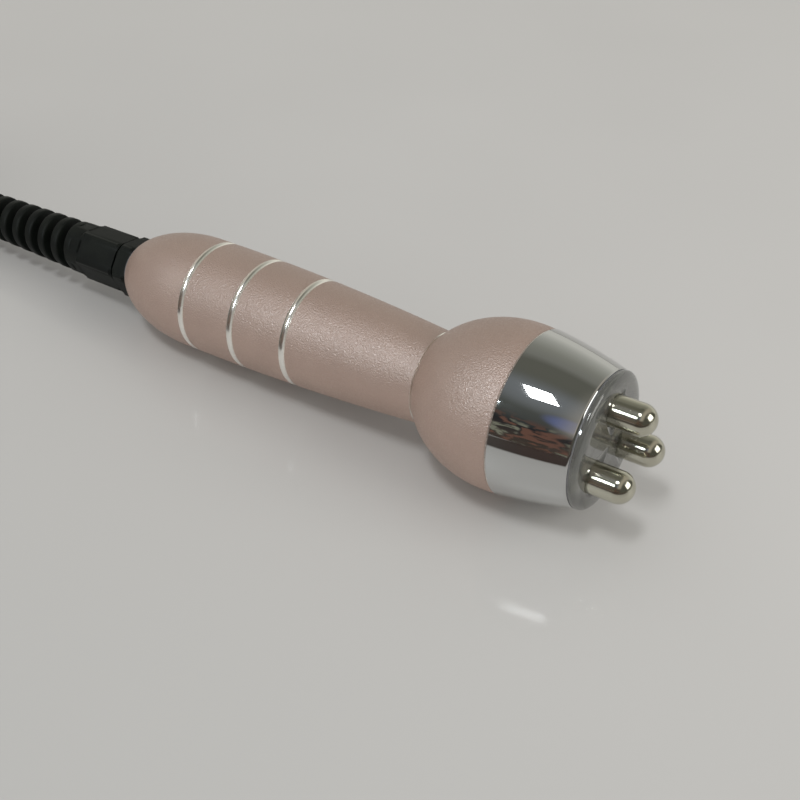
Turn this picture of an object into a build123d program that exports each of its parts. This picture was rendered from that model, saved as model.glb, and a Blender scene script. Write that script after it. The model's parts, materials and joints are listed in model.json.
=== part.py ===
from build123d import *
import math
import os

# Three-electrode radio-frequency handpiece of a body slimming machine, lying on a table.
# Millimetres. Each piece of the handpiece is turned about a local X axis, where s is the place
# along that axis from the third accent groove, positive towards the electrodes. The finished
# handpiece is then tilted until its tail bulge and its ball head both touch the table, z = 0.

os.makedirs("parts", exist_ok=True)
nodes = {}

# Handle
TAIL_S = -64.1            # end face of the tail, where the cable gland sits
TAIL_R = 9.2
BULGE_S = -41.0           # fattest place of the handle
BULGE_R = 16.0
NECK_S = 39.0             # crease between handle and ball
NECK_R = 12.3
NECK_CHAMFER = 0.5
HANDLE_BORE_R = 9.5
TAIL_WALL = 4.0
GROOVE_FIRST_S = -35.2    # bright-cut accent grooves
GROOVE_STEP = 17.6
GROOVE_COUNT = 3
GROOVE_WIDTH = 1.9
GROOVE_DEPTH = 0.55

# Ball head and chrome collar
HEAD_S = 60.9             # centre of the ball
HEAD_R = 21.5
SEAM_S = 65.6             # joint between ball and collar
HEAD_WALL = 3.2
HEAD_NECK_LENGTH = 6.5    # solid threaded neck of the ball
HEAD_SHOULDER = 4.6       # wall of the hollow where it leaves the neck
MOUTH_DEPTH = 7.6         # threaded mouth that takes the collar
COLLAR_PROUD = 0.24       # rear edge of the collar over the ball at the seam
COLLAR_CROWN = 0.4        # its bulge over a straight cone
COLLAR_FRONT_S = 84.6
COLLAR_FRONT_LAND = 0.2   # rim of the front face outside the disc
COLLAR_LIP = 0.3
COLLAR_SPIGOT_WALL = 2.2
COLLAR_WALL = 2.9         # front wall that the disc clamps on
DISC_OPENING_R = 14.2
THREAD_CLEARANCE = 0.1

# Insulating disc and its fixing
GASKET_THICK = 0.4
GASKET_WIDTH = 3.0
DISC_OVERHANG = 0.2       # past the gasket
DISC_EDGE = 0.5
DISC_BEVEL = 3.4          # width of the rounded rim
DISC_RISE = 2.0           # from the gasket to the flat face
DISC_CLEARANCE = 0.2
SPIGOT_LENGTH = 7.9
RING_NUT_THICK = 3.0
RING_NUT_WIDTH = 1.8
RING_NUT_CLEARANCE = 0.2
SPANNER_SLOT = 2.4

# Electrodes
ELECTRODE_COUNT = 3
ELECTRODE_R = 4.0
ELECTRODE_LENGTH = 10.5
ELECTRODE_SEAT = 6.0      # how deep its full thickness sits in the disc
SEAT_WALL = 0.6           # plastic between that seat and the spigot's outside
ELECTRODE_ROLL = -3.6     # degrees from straight up towards -Y
STUD_R = 2.0
STUD_CLEARANCE = 0.05
STUD_END = 1.0            # thread that shows past the nut
WASHER_R = 4.4
WASHER_THICK = 0.8
TAG_R = 3.5
TAG_THICK = 0.5
TAG_WIDTH = 2.4
TAG_REACH = 6.2           # from the stud's axis inwards
M4_NUT_FLATS = 7.0
M4_NUT_THICK = 3.2

# Inner wiring
WIRE_R = 0.8
WIRE_STRAIGHT = 6.0       # straight length at each end
WIRE_NECK_GAP = 1.0       # between a lead and the bore of the neck
WIRE_BEND_R = 12.0
SLEEVE_R = 1.7
SLEEVE_LENGTH = 14.0
SLEEVE_S = -8.0
SLEEVE_PITCH_R = 3.5
CORE_R = 0.9
CORE_PITCH_R = 1.35
CABLE_R = 2.5
CABLE_INNER_S = -40.0     # where the jacket is cut back
FERRULE_R = 4.0
FERRULE_LENGTH = 6.0
FERRULE_GAP = 0.2
NIPPLE_BORE_R = 7.2
NIPPLE_REACH = 9.0        # into the handle
NIPPLE_HEAD_REACH = 6.0   # into the ball

# Cable gland with its spiral bend protector
HEX_ROLL = 50.0           # a flat faces this many degrees from straight up towards -Y
GLAND_THREAD_R = 6.2
GLAND_GASKET_THICK = 1.0
GLAND_GASKET_R = 8.4
GLAND_HEX_FLATS = 16.0
GLAND_HEX_CORNER_R = 9.15
GLAND_HEX_THICK = 5.0
GLAND_THREAD_PAST_WALL = 5.1
GLAND_BORE_R = 3.2
SEAL_ROOM_R = 4.6
GLAND_REAR_R = 6.4
GLAND_REAR_LENGTH = 9.0
FINGER_R = 5.6
FINGER_LENGTH = 5.5
FINGER_SLOTS = 3
FINGER_SLOT_WIDTH = 1.0
LOCK_NUT_FLATS = 15.0
LOCK_NUT_THICK = 3.0
DOME_NUT_FLATS = 15.0
DOME_NUT_CORNER_R = 8.5
DOME_NUT_GAP = 1.2
DOME_NUT_HEX = 15.3
DOME_LENGTH = 5.5
SPIRAL_FRONT_R = 7.8
SPIRAL_REAR_R = 6.7
SPIRAL_BORE_R = 3.1
SPIRAL_PITCH = 6.1
SPIRAL_HAND = -1          # 1 or -1, the way it winds
SPIRAL_TURNS = 9.0
SPIRAL_STRIP = 2.8
SPIRAL_SET_IN = 0.1       # the strip lies this much inside the faces of its end rings
SPIRAL_END_RING = 3.5
SPIRAL_STEPS = 16         # sections in one turn

# Free cable, its points chosen by hand. X and Y run from the bend protector's end for the lead
# and the coil's centre, and from the coil's centre for the tail. Z is the height over the table.
LEAD_POINTS = [(-14.6, 1.4, 8.15)]
LEAD_FIRST_RUN = 9.0      # in line with the handpiece
LEAD_LAST_RUN = 6.0       # in line with the coil's start
COIL_CENTRE = (-49.65, -11.0)
COIL_OUTER_R = 31.7
COIL_STEP = 5.5           # from one turn to the next, and from one layer to the next
COIL_LAYERS = 4
COIL_START_ANGLE = 46.0
COIL_END_ANGLE = 290.0
COIL_TURNS = 7
COIL_START_DROP = 2.3     # the cable comes down this much over the first quarter turn
CABLE_STUB = 5.0          # straight ends of the coiled tube
TAIL_POINTS = [(28.6, -20.4, 20.3), (32.6, -12.0, 22.0), (33.0, -2.5, 24.2), (29.6, 6.4, 26.4),
               (23.0, 13.2, 28.5)]
TAIL_FIRST_RUN = 7.0      # in line with the coil's end
TAIL_LAST_RUN = 8.0       # in line with the connector
ARC_SHARE = 0.45
TIE_WIDTH = 4.0
TIE_THICK = 0.5
TIE_CLEARANCE = 0.2
TIE_ANGLE = 215.0
TIE_TWIST_R = 1.1
TIE_TWIST_LENGTH = 8.0

# Cable connector, lying on the coil with its front towards -X. u is the place along it from
# its back end.
PLUG_BACK = (6.7, 16.7)   # X and Y from the centre of the coil
NUT_R = 7.4
NUT_BORE_R = 6.0
NUT_LIP_CLEARANCE = 0.1
NUT_LIP = 1.8
NUT_START_U = 19.4
NUT_END_U = 31.0
NUT_FLUTES = 24
NUT_FLUTE_DEPTH = 0.35
BARREL_R = 5.1
BARREL_NOSE_R = 4.9       # the end that shows past the nut
BARREL_BORE_R = 4.2
BARREL_START_U = 11.0
BARREL_END_U = 36.0
BARREL_COLLAR_R = 5.6
BARREL_COLLAR = 1.5
NUT_FLOAT = 0.2
BACK_SHELL_R = 6.0
BACK_SHELL_BACK_R = 4.7
BACK_SHELL_WALL = 1.0
CLAMP_LENGTH = 7.0
CLAMP_CLEARANCE = 0.1
CLAMP_SPLIT = 0.25
CLAMP_SCREW_R = 0.8
CLAMP_SCREW_HEAD_R = 1.4
CLAMP_EAR_Y = 3.9
INSERT_START_U = 19.0
INSERT_END_U = 29.0
PIN_R = 0.5
PIN_PITCH_R = 2.4
PIN_START_U = 16.0
PIN_END_U = 34.5
PLUG_CABLE_END_U = 8.5
PLUG_WIRE_STRAIGHT = 2.5


def keep(name, *shapes):
    """Store one node: one solid, or a group of solids that don't touch."""
    nodes[name] = list(shapes)


def rod(start, end, radius, bore=0.0):
    """A round bar or tube along X."""
    bar = Cylinder(radius, end - start, align=(Align.CENTER, Align.CENTER, Align.MIN))
    if bore:
        bar -= Cylinder(bore, end - start, align=(Align.CENTER, Align.CENTER, Align.MIN))
    return Pos(start, 0, 0) * Rot(0, 90, 0) * bar


def turned(*edges):
    """A solid of revolution about X from a closed outline in the XY plane."""
    return revolve(make_face(Wire(edges)), Axis.X)


def turned_points(*points):
    """A solid of revolution about X from straight lines between (s, radius) points."""
    return revolve(make_face(Wire.make_polygon([(s, r) for s, r in points], close=True)), Axis.X)


def around(angle, radius, s=0.0):
    """The place at an angle from straight up towards -Y, at a radius from the X axis."""
    return Pos(s, -radius * math.sin(math.radians(angle)), radius * math.cos(math.radians(angle)))


def hex_bar(start, end, flats, bore=0.0):
    """A hexagonal bar along X with a flat at HEX_ROLL."""
    face = Plane.YZ.offset(start) * Rot(0, 0, HEX_ROLL) * RegularPolygon(flats / 2, 6, major_radius=False)
    bar = extrude(face, end - start)
    return bar - rod(start, end, bore) if bore else bar


def bent_tube(points, radii, radius):
    """A round tube along straight runs joined by tangent arcs."""
    path = FilletPolyline(*points, radius=radii)
    section = Plane(origin=path @ 0, z_dir=path % 0) * Circle(radius)
    return sweep(section, path=path), path


def arc_radii(points, share=ARC_SHARE):
    """The largest tangent arc that each corner's two runs allow."""
    radii = []
    for before, corner, after in zip(points, points[1:], points[2:]):
        run_in = Vector(*corner) - Vector(*before)
        run_out = Vector(*after) - Vector(*corner)
        half_turn = math.radians(run_in.get_angle(run_out)) / 2
        radii.append(share * min(run_in.length, run_out.length) / math.tan(half_turn))
    return radii


# Handle
back_arc_r = ((NECK_S - BULGE_S) ** 2 + (BULGE_R - NECK_R) ** 2) / (2 * (BULGE_R - NECK_R))
tail_half_length = (BULGE_S - TAIL_S) / math.sqrt(1 - (TAIL_R / BULGE_R) ** 2)


def handle_radius(s):
    """Outer radius of the handle's long arc, forward of the bulge."""
    return BULGE_R - back_arc_r + math.sqrt(back_arc_r ** 2 - (s - BULGE_S) ** 2)


def make_handle():
    tail_turn = math.degrees(math.acos(TAIL_R / BULGE_R))
    tail = EllipticalCenterArc((BULGE_S, 0), tail_half_length, BULGE_R, start_angle=90, arc_size=tail_turn)
    chamfer_s = NECK_S - NECK_CHAMFER
    chamfer_point = (chamfer_s, handle_radius(chamfer_s))
    back = TangentArc((BULGE_S, BULGE_R), chamfer_point, tangent=(1, 0))
    body = turned(
        tail, back,
        Line(chamfer_point, (NECK_S, NECK_R - NECK_CHAMFER)),
        Line((NECK_S, NECK_R - NECK_CHAMFER), (NECK_S, 0)),
        Line((NECK_S, 0), (TAIL_S, 0)),
        Line((TAIL_S, 0), (TAIL_S, TAIL_R)))
    body -= rod(TAIL_S + TAIL_WALL, NECK_S, HANDLE_BORE_R)
    body -= rod(TAIL_S, TAIL_S + TAIL_WALL, GLAND_THREAD_R + THREAD_CLEARANCE)
    for number in range(GROOVE_COUNT):
        s = GROOVE_FIRST_S + number * GROOVE_STEP
        top = handle_radius(s) + GROOVE_DEPTH
        body -= turned_points((s, top - 2 * GROOVE_DEPTH), (s + GROOVE_WIDTH, top), (s - GROOVE_WIDTH, top))
    keep("handle_shell", body)


# Ball head
head_half_length = (HEAD_S - NECK_S) / math.sqrt(1 - (NECK_R / HEAD_R) ** 2)


def head_radius(s):
    """Outer radius of the ball."""
    return HEAD_R * math.sqrt(1 - ((s - HEAD_S) / head_half_length) ** 2)


# Radii that follow from the opening in the collar's front wall and from the ball
spigot_r = DISC_OPENING_R - DISC_CLEARANCE
gasket_r = DISC_OPENING_R + GASKET_WIDTH
disc_r = gasket_r + DISC_OVERHANG
disc_face_r = disc_r - DISC_BEVEL
collar_front_r = disc_r + COLLAR_FRONT_LAND
ring_nut_r = spigot_r + RING_NUT_WIDTH
collar_bore_r = ring_nut_r + RING_NUT_CLEARANCE
mouth_r = collar_bore_r + COLLAR_SPIGOT_WALL + THREAD_CLEARANCE
electrode_pitch_r = spigot_r - ELECTRODE_R - SEAT_WALL
collar_rear_r = head_radius(SEAM_S) + COLLAR_PROUD
collar_mid_r = (collar_rear_r + collar_front_r) / 2 + COLLAR_CROWN


def make_head():
    seam_angle = math.degrees(math.acos((SEAM_S - HEAD_S) / head_half_length))
    neck_angle = math.degrees(math.acos((NECK_S - HEAD_S) / head_half_length))
    ball = turned(
        EllipticalCenterArc((HEAD_S, 0), head_half_length, HEAD_R, start_angle=seam_angle,
                            arc_size=neck_angle - seam_angle),
        Line((NECK_S, NECK_R), (NECK_S, 0)),
        Line((NECK_S, 0), (SEAM_S, 0)),
        Line((SEAM_S, 0), (SEAM_S, head_radius(SEAM_S))))
    hollow_s = NECK_S + HEAD_NECK_LENGTH
    hollow_r = head_radius(hollow_s) - HEAD_SHOULDER
    mouth_s = SEAM_S - MOUTH_DEPTH
    middle_s = (hollow_s + mouth_s) / 2
    hollow = turned(
        Line((hollow_s, 0), (hollow_s, hollow_r)),
        ThreePointArc((hollow_s, hollow_r), (middle_s, head_radius(middle_s) - HEAD_WALL), (mouth_s, mouth_r)),
        Line((mouth_s, mouth_r), (SEAM_S, mouth_r)),
        Line((SEAM_S, mouth_r), (SEAM_S, 0)),
        Line((SEAM_S, 0), (hollow_s, 0)))
    ball -= hollow
    ball -= rod(NECK_S, hollow_s, HANDLE_BORE_R)
    keep("head_shell", ball)


def make_neck_nipple():
    keep("neck_nipple", rod(NECK_S - NIPPLE_REACH, NECK_S + NIPPLE_HEAD_REACH,
                            HANDLE_BORE_R - THREAD_CLEARANCE, NIPPLE_BORE_R))


# Chrome collar and insulating disc
wall_s = COLLAR_FRONT_S - COLLAR_WALL
disc_back_s = COLLAR_FRONT_S + GASKET_THICK
face_s = disc_back_s + DISC_RISE
spigot_s = disc_back_s - SPIGOT_LENGTH


def make_collar():
    middle_s = (SEAM_S + COLLAR_FRONT_S) / 2
    lip_point = (SEAM_S + COLLAR_LIP, collar_rear_r)
    front_point = (COLLAR_FRONT_S, collar_front_r)
    collar = turned(
        Line((SEAM_S, collar_rear_r - COLLAR_LIP), lip_point),
        ThreePointArc(lip_point, (middle_s, collar_mid_r), front_point),
        Line(front_point, (COLLAR_FRONT_S, DISC_OPENING_R)),
        Line((COLLAR_FRONT_S, DISC_OPENING_R), (SEAM_S, DISC_OPENING_R)),
        Line((SEAM_S, DISC_OPENING_R), (SEAM_S, collar_rear_r - COLLAR_LIP)))
    collar += rod(SEAM_S - MOUTH_DEPTH + COLLAR_LIP, SEAM_S, mouth_r - THREAD_CLEARANCE, collar_bore_r)
    collar -= rod(SEAM_S - MOUTH_DEPTH, wall_s, collar_bore_r)
    keep("chrome_collar", collar)


def make_disc():
    edge_point = (disc_back_s + DISC_EDGE, disc_r)
    face_point = (face_s, disc_face_r)
    disc = turned(
        Line((disc_back_s, spigot_r), (disc_back_s, disc_r)),
        Line((disc_back_s, disc_r), edge_point),
        TangentArc(face_point, edge_point, tangent=(0, 1)),
        Line(face_point, (face_s, 0)),
        Line((face_s, 0), (spigot_s, 0)),
        Line((spigot_s, 0), (spigot_s, spigot_r)),
        Line((spigot_s, spigot_r), (disc_back_s, spigot_r)))
    for place in electrode_places():
        disc -= place * rod(spigot_s, face_s, STUD_R + STUD_CLEARANCE)
        disc -= place * rod(face_s - ELECTRODE_SEAT, face_s, ELECTRODE_R + STUD_CLEARANCE)
    keep("insulator_disc", disc)
    keep("disc_gasket", rod(COLLAR_FRONT_S, disc_back_s, gasket_r, DISC_OPENING_R))


def make_ring_nut():
    nut = rod(wall_s - RING_NUT_THICK, wall_s, ring_nut_r, spigot_r + STUD_CLEARANCE)
    slot = Box(RING_NUT_THICK / 2, 2 * ring_nut_r, SPANNER_SLOT)
    keep("disc_ring_nut", nut - Pos(wall_s - RING_NUT_THICK, 0, 0) * slot)


# Electrodes with their studs, washers, solder tags and nuts
washer_s = spigot_s - WASHER_THICK
tag_s = washer_s - TAG_THICK
nut_s = tag_s - M4_NUT_THICK


def electrode_angles():
    return [ELECTRODE_ROLL + number * 360 / ELECTRODE_COUNT for number in range(ELECTRODE_COUNT)]


def electrode_places():
    return [around(angle, electrode_pitch_r) for angle in electrode_angles()]


def make_electrodes():
    seat_s = face_s - ELECTRODE_SEAT
    tip_s = face_s + ELECTRODE_LENGTH
    round_s = tip_s - ELECTRODE_R
    middle = ELECTRODE_R * math.sqrt(0.5)
    pin = turned(
        Line((nut_s - STUD_END, 0), (nut_s - STUD_END, STUD_R)),
        Line((nut_s - STUD_END, STUD_R), (seat_s, STUD_R)),
        Line((seat_s, STUD_R), (seat_s, ELECTRODE_R)),
        Line((seat_s, ELECTRODE_R), (round_s, ELECTRODE_R)),
        ThreePointArc((round_s, ELECTRODE_R), (round_s + middle, middle), (tip_s, 0)),
        Line((tip_s, 0), (nut_s - STUD_END, 0)))
    hole_r = STUD_R + STUD_CLEARANCE
    washer = rod(washer_s, spigot_s, WASHER_R, hole_r)
    nut = extrude(Plane.YZ.offset(nut_s) * RegularPolygon(M4_NUT_FLATS / 2, 6, major_radius=False), M4_NUT_THICK)
    nut -= rod(nut_s, tag_s, hole_r)
    tongue = Pos(tag_s, -TAG_WIDTH / 2, -TAG_REACH) * Box(
        TAG_THICK, TAG_WIDTH, TAG_REACH, align=(Align.MIN, Align.MIN, Align.MIN))
    tag = rod(tag_s, washer_s, TAG_R) + tongue - rod(tag_s, washer_s, hole_r)
    for number, place in enumerate(electrode_places(), start=1):
        keep(f"electrode_{number}", place * pin)
    keep("electrode_washers", *[place * washer for place in electrode_places()])
    keep("electrode_nuts", *[place * nut for place in electrode_places()])
    keep("solder_tags", *[around(angle, electrode_pitch_r) * Rot(angle, 0, 0) * tag for angle in electrode_angles()])


def make_wiring():
    """One lead, one heat-shrunk splice and one cable core for each electrode."""
    sleeve_end = SLEEVE_S + SLEEVE_LENGTH
    tag_r = electrode_pitch_r - TAG_REACH + WIRE_R
    neck_r = NIPPLE_BORE_R - WIRE_NECK_GAP - WIRE_R
    wire_points = [(tag_s, tag_r), (tag_s - WIRE_STRAIGHT, tag_r), (NECK_S + WIRE_STRAIGHT, neck_r),
                   (NECK_S - WIRE_STRAIGHT, neck_r), (sleeve_end + WIRE_STRAIGHT, SLEEVE_PITCH_R),
                   (sleeve_end, SLEEVE_PITCH_R)]
    core_points = [(SLEEVE_S, SLEEVE_PITCH_R), (SLEEVE_S - WIRE_STRAIGHT, SLEEVE_PITCH_R),
                   (CABLE_INNER_S + WIRE_STRAIGHT, CORE_PITCH_R), (CABLE_INNER_S, CORE_PITCH_R)]
    wires, sleeves, cores = [], [], []
    for angle in electrode_angles():
        turn = Rot(angle, 0, 0)
        lead, _ = bent_tube([(s, 0, r) for s, r in wire_points], WIRE_BEND_R, WIRE_R)
        core, _ = bent_tube([(s, 0, r) for s, r in core_points], WIRE_BEND_R, CORE_R)
        wires.append(turn * lead)
        cores.append(turn * core)
        sleeves.append(turn * Pos(0, 0, SLEEVE_PITCH_R) * rod(SLEEVE_S, sleeve_end, SLEEVE_R))
    keep("hookup_wires", *wires)
    keep("cable_cores", *cores)
    keep("splice_sleeves", *sleeves)


# Gland
gasket_s = TAIL_S - GLAND_GASKET_THICK
hex_s = gasket_s - GLAND_HEX_THICK
gland_front_s = TAIL_S + TAIL_WALL + GLAND_THREAD_PAST_WALL
rear_s = hex_s - GLAND_REAR_LENGTH
finger_s = rear_s - FINGER_LENGTH
dome_front_s = hex_s - DOME_NUT_GAP
dome_hex_s = dome_front_s - DOME_NUT_HEX
spiral_s = dome_hex_s - DOME_LENGTH
spiral_end_s = spiral_s - SPIRAL_PITCH * SPIRAL_TURNS
cable_exit_s = spiral_end_s - SPIRAL_END_RING


def make_gland():
    keep("gland_gasket", rod(gasket_s, TAIL_S, GLAND_GASKET_R, GLAND_THREAD_R + THREAD_CLEARANCE))
    body = hex_bar(hex_s, gasket_s, GLAND_HEX_FLATS) & rod(hex_s, gasket_s, GLAND_HEX_CORNER_R)
    body += rod(gasket_s, gland_front_s, GLAND_THREAD_R)
    body += rod(rear_s, hex_s, GLAND_REAR_R)
    body += rod(finger_s, rear_s, FINGER_R)
    body -= rod(hex_s, gland_front_s, GLAND_BORE_R)
    body -= rod(finger_s, hex_s, SEAL_ROOM_R)
    for number in range(FINGER_SLOTS):
        slot = Box(FINGER_LENGTH, 2 * GLAND_HEX_CORNER_R, FINGER_SLOT_WIDTH,
                   align=(Align.MIN, Align.CENTER, Align.CENTER))
        body -= Pos(finger_s, 0, 0) * Rot(180 / FINGER_SLOTS * number, 0, 0) * slot
    keep("gland_body", body)
    keep("gland_seal", rod(finger_s + 1, hex_s, SEAL_ROOM_R - THREAD_CLEARANCE, CABLE_R + THREAD_CLEARANCE))
    lock_s = TAIL_S + TAIL_WALL
    keep("gland_lock_nut", hex_bar(lock_s, lock_s + LOCK_NUT_THICK, LOCK_NUT_FLATS,
                                   GLAND_THREAD_R + THREAD_CLEARANCE))


def spiral_radius(s):
    """Outer radius of the bend protector's spiral, which tapers towards its end."""
    share = max(0.0, (spiral_s - s) / (spiral_s - cable_exit_s))
    return SPIRAL_FRONT_R + (SPIRAL_REAR_R - SPIRAL_FRONT_R) * share


def make_bend_protector():
    """Dome nut and spiral, moulded as one: the spiral is one helical strip between two rings."""
    nut = hex_bar(dome_hex_s, dome_front_s, DOME_NUT_FLATS) & rod(dome_hex_s, dome_front_s, DOME_NUT_CORNER_R)
    nut += turned_points((dome_hex_s + 1, 0), (dome_hex_s + 1, SPIRAL_FRONT_R), (spiral_s, SPIRAL_FRONT_R),
                         (spiral_s, 0))
    nut -= rod(rear_s - 0.5, dome_front_s, GLAND_REAR_R + THREAD_CLEARANCE)
    nut -= rod(finger_s - 0.3, rear_s, FINGER_R + THREAD_CLEARANCE)
    sunk = SPIRAL_END_RING - SPIRAL_STRIP / 2 - SPIRAL_SET_IN
    length = spiral_s - spiral_end_s + 2 * sunk
    count = round(length / SPIRAL_PITCH * SPIRAL_STEPS)
    inner = SPIRAL_BORE_R + SPIRAL_SET_IN
    sections = []
    for number in range(count + 1):
        s = spiral_s + sunk - length * number / count
        outer = spiral_radius(s) - SPIRAL_SET_IN
        turn = SPIRAL_HAND * 360 * (spiral_s - s) / SPIRAL_PITCH
        section = Plane.XZ * Rectangle(SPIRAL_STRIP, outer - inner)
        sections.append(Rot(turn, 0, 0) * Pos(s, 0, (outer + inner) / 2) * section)
    strip = loft(sections, ruled=True)
    end_ring = turned_points((cable_exit_s, 0), (cable_exit_s, SPIRAL_REAR_R),
                             (spiral_end_s, spiral_radius(spiral_end_s)), (spiral_end_s, 0))
    protector = nut + strip + end_ring
    protector -= rod(cable_exit_s, dome_front_s, SPIRAL_BORE_R)
    keep("bend_protector", protector)
    print("spiral gap between turns", round(SPIRAL_PITCH - SPIRAL_STRIP, 2), "mm")


def make_inner_cable():
    keep("inner_cable", rod(cable_exit_s, CABLE_INNER_S, CABLE_R))
    ferrule_s = gland_front_s + FERRULE_GAP
    keep("cable_ferrule", rod(ferrule_s, ferrule_s + FERRULE_LENGTH, FERRULE_R, CABLE_R + STUD_CLEARANCE))


# Pose of the handpiece on the table
def support_height(half_length, half_width, tilt):
    """Height of an ellipsoid's centre over the plane that it touches, its long axis tilted."""
    return math.hypot(half_width * math.cos(tilt), half_length * math.sin(tilt))


tilt = 0.0
for _ in range(30):
    rise = support_height(head_half_length, HEAD_R, tilt) - support_height(tail_half_length, BULGE_R, tilt)
    tilt = math.asin(rise / (HEAD_S - BULGE_S))
axis_z = support_height(tail_half_length, BULGE_R, tilt) - BULGE_S * math.sin(tilt)
tip_x = max(
    (face_s + ELECTRODE_LENGTH - ELECTRODE_R) * math.cos(tilt) + ELECTRODE_R
    - electrode_pitch_r * math.cos(math.radians(angle)) * math.sin(tilt)
    for angle in electrode_angles())
end_x = cable_exit_s * math.cos(tilt) - SPIRAL_REAR_R * math.sin(tilt)
axis_x = -(tip_x + end_x) / 2
lying = Pos(axis_x, 0, axis_z) * Rot(0, -math.degrees(tilt), 0)
exit_x = axis_x + cable_exit_s * math.cos(tilt)
exit_z = axis_z + cable_exit_s * math.sin(tilt)


# Free cable
coil_x = exit_x + COIL_CENTRE[0]
coil_y = COIL_CENTRE[1]
coil_turns = COIL_TURNS + (COIL_END_ANGLE - COIL_START_ANGLE) / 360
layer_turns = coil_turns / COIL_LAYERS
coil_first_z = TIE_THICK + TIE_CLEARANCE + CABLE_R
coil_top_z = coil_first_z + COIL_STEP * (COIL_LAYERS - 1)
plug_z = coil_top_z + CABLE_R + THREAD_CLEARANCE + NUT_R


def ease(share):
    """A smooth step from 0 to 1."""
    share = min(1.0, max(0.0, share))
    return share * share * (3 - 2 * share)


def coil_point(turn):
    """Spirals in, out, in and out again, and climbs a layer where it reverses."""
    layer = turn / layer_turns
    fold = layer % 2
    inward = fold if fold < 1 else 2 - fold
    radius = COIL_OUTER_R - COIL_STEP * layer_turns * inward
    climbs = sum(ease((turn - number * layer_turns) / 0.5 + 0.5) for number in range(1, COIL_LAYERS))
    drop = COIL_START_DROP * max(0.0, 1 - turn / 0.25) ** 2
    angle = math.radians(COIL_START_ANGLE + 360 * turn)
    return Vector(coil_x + radius * math.cos(angle), coil_y + radius * math.sin(angle),
                  coil_first_z + COIL_STEP * climbs + drop)


def coil_heading(turn):
    step = 0.001
    before = max(0.0, turn - step)
    after = min(coil_turns, turn + step)
    return (coil_point(after) - coil_point(before)).normalized()


def two_arcs(start, start_heading, end, end_heading):
    """Two tangent arcs from one point and heading to another."""
    across = end - start
    sum_of_headings = start_heading + end_heading
    spread = 2 * (1 - start_heading.dot(end_heading))
    reach = across.dot(sum_of_headings)
    leg = (-reach + math.sqrt(reach ** 2 + spread * across.dot(across))) / spread
    joint = (start + start_heading * leg + end - end_heading * leg) / 2
    first = Edge.make_tangent_arc(start, start_heading, joint)
    joint_heading = (end - end_heading * leg - joint).normalized()
    return [first, Edge.make_tangent_arc(joint, joint_heading, end)]


def make_coil():
    pieces = math.ceil(coil_turns * 4)
    turns = [coil_turns * number / pieces for number in range(pieces + 1)]
    start, end = coil_point(0), coil_point(coil_turns)
    edges = [Edge.make_line(start - coil_heading(0) * CABLE_STUB, start)]
    for here, there in zip(turns, turns[1:]):
        edges += two_arcs(coil_point(here), coil_heading(here), coil_point(there), coil_heading(there))
    edges.append(Edge.make_line(end, end + coil_heading(coil_turns) * CABLE_STUB))
    path = Wire(edges)
    section = Plane(origin=path @ 0, z_dir=path % 0) * Circle(CABLE_R)
    keep("cable_coil", sweep(section, path=path))
    samples = 60
    marks = [coil_point(coil_turns * number / (pieces * samples // 4)) for number in range(pieces * samples // 4 + 1)]
    skip = samples // 2
    gap = min((a - b).length for i, a in enumerate(marks) for b in marks[i + skip:]) - 2 * CABLE_R
    print("coil: length", round(path.length, 1), "mm, least gap to itself", round(gap, 2), "mm")
    return path.length


def make_free_runs():
    """The lead from the bend protector to the coil, and the tail from the coil to the plug."""
    leave = Vector(exit_x, 0, exit_z)
    along = Vector(-math.cos(tilt), 0, -math.sin(tilt))
    coil_start = coil_point(0) - coil_heading(0) * CABLE_STUB
    coil_end = coil_point(coil_turns) + coil_heading(coil_turns) * CABLE_STUB
    plug_back = Vector(coil_x + PLUG_BACK[0], coil_y + PLUG_BACK[1], plug_z)
    lead = [leave, leave + along * LEAD_FIRST_RUN]
    lead += [Vector(exit_x + x, y, z) for x, y, z in LEAD_POINTS]
    lead += [coil_start - coil_heading(0) * LEAD_LAST_RUN, coil_start]
    tail = [coil_end, coil_end + coil_heading(coil_turns) * TAIL_FIRST_RUN]
    tail += [Vector(coil_x + x, coil_y + y, z) for x, y, z in TAIL_POINTS]
    tail += [plug_back + Vector(TAIL_LAST_RUN, 0, 0), plug_back]
    lengths = []
    for name, points in (("cable_lead", lead), ("cable_tail", tail)):
        radii = arc_radii(points)
        tube, path = bent_tube(points, radii, CABLE_R)
        keep(name, tube)
        lengths.append(path.length)
        print(name, "length", round(path.length, 1), "radii", [round(r, 1) for r in radii],
              "volume share", round(tube.volume / (math.pi * CABLE_R ** 2 * path.length), 4))
        print(name, "points", [tuple(round(v, 2) for v in point) for point in points])
    return sum(lengths)


def make_tie():
    """Flat plastic-covered wire, wrapped once round the coil, its twisted ends folded flat."""
    inner = COIL_OUTER_R - COIL_STEP * layer_turns - CABLE_R - TIE_CLEARANCE
    outer = COIL_OUTER_R + CABLE_R + TIE_CLEARANCE
    top = coil_top_z + CABLE_R + TIE_CLEARANCE
    bottom = TIE_THICK
    width, height = outer - inner + 2 * TIE_THICK, top - bottom + 2 * TIE_THICK
    corner = CABLE_R
    outline = RectangleRounded(width, height, corner) - RectangleRounded(
        width - 2 * TIE_THICK, height - 2 * TIE_THICK, corner - TIE_THICK)
    band = Pos((inner + outer) / 2, 0, (top + bottom) / 2) * extrude(
        Plane.XZ * outline, TIE_WIDTH / 2, both=True)
    twist = Pos(outer + TIE_THICK / 2 + TIE_TWIST_R, 0, height / 2) * Rot(90, 0, 0) * Cylinder(
        TIE_TWIST_R, TIE_TWIST_LENGTH)
    keep("coil_tie", Pos(coil_x, coil_y, 0) * Rot(0, 0, TIE_ANGLE) * (band + twist))


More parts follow.
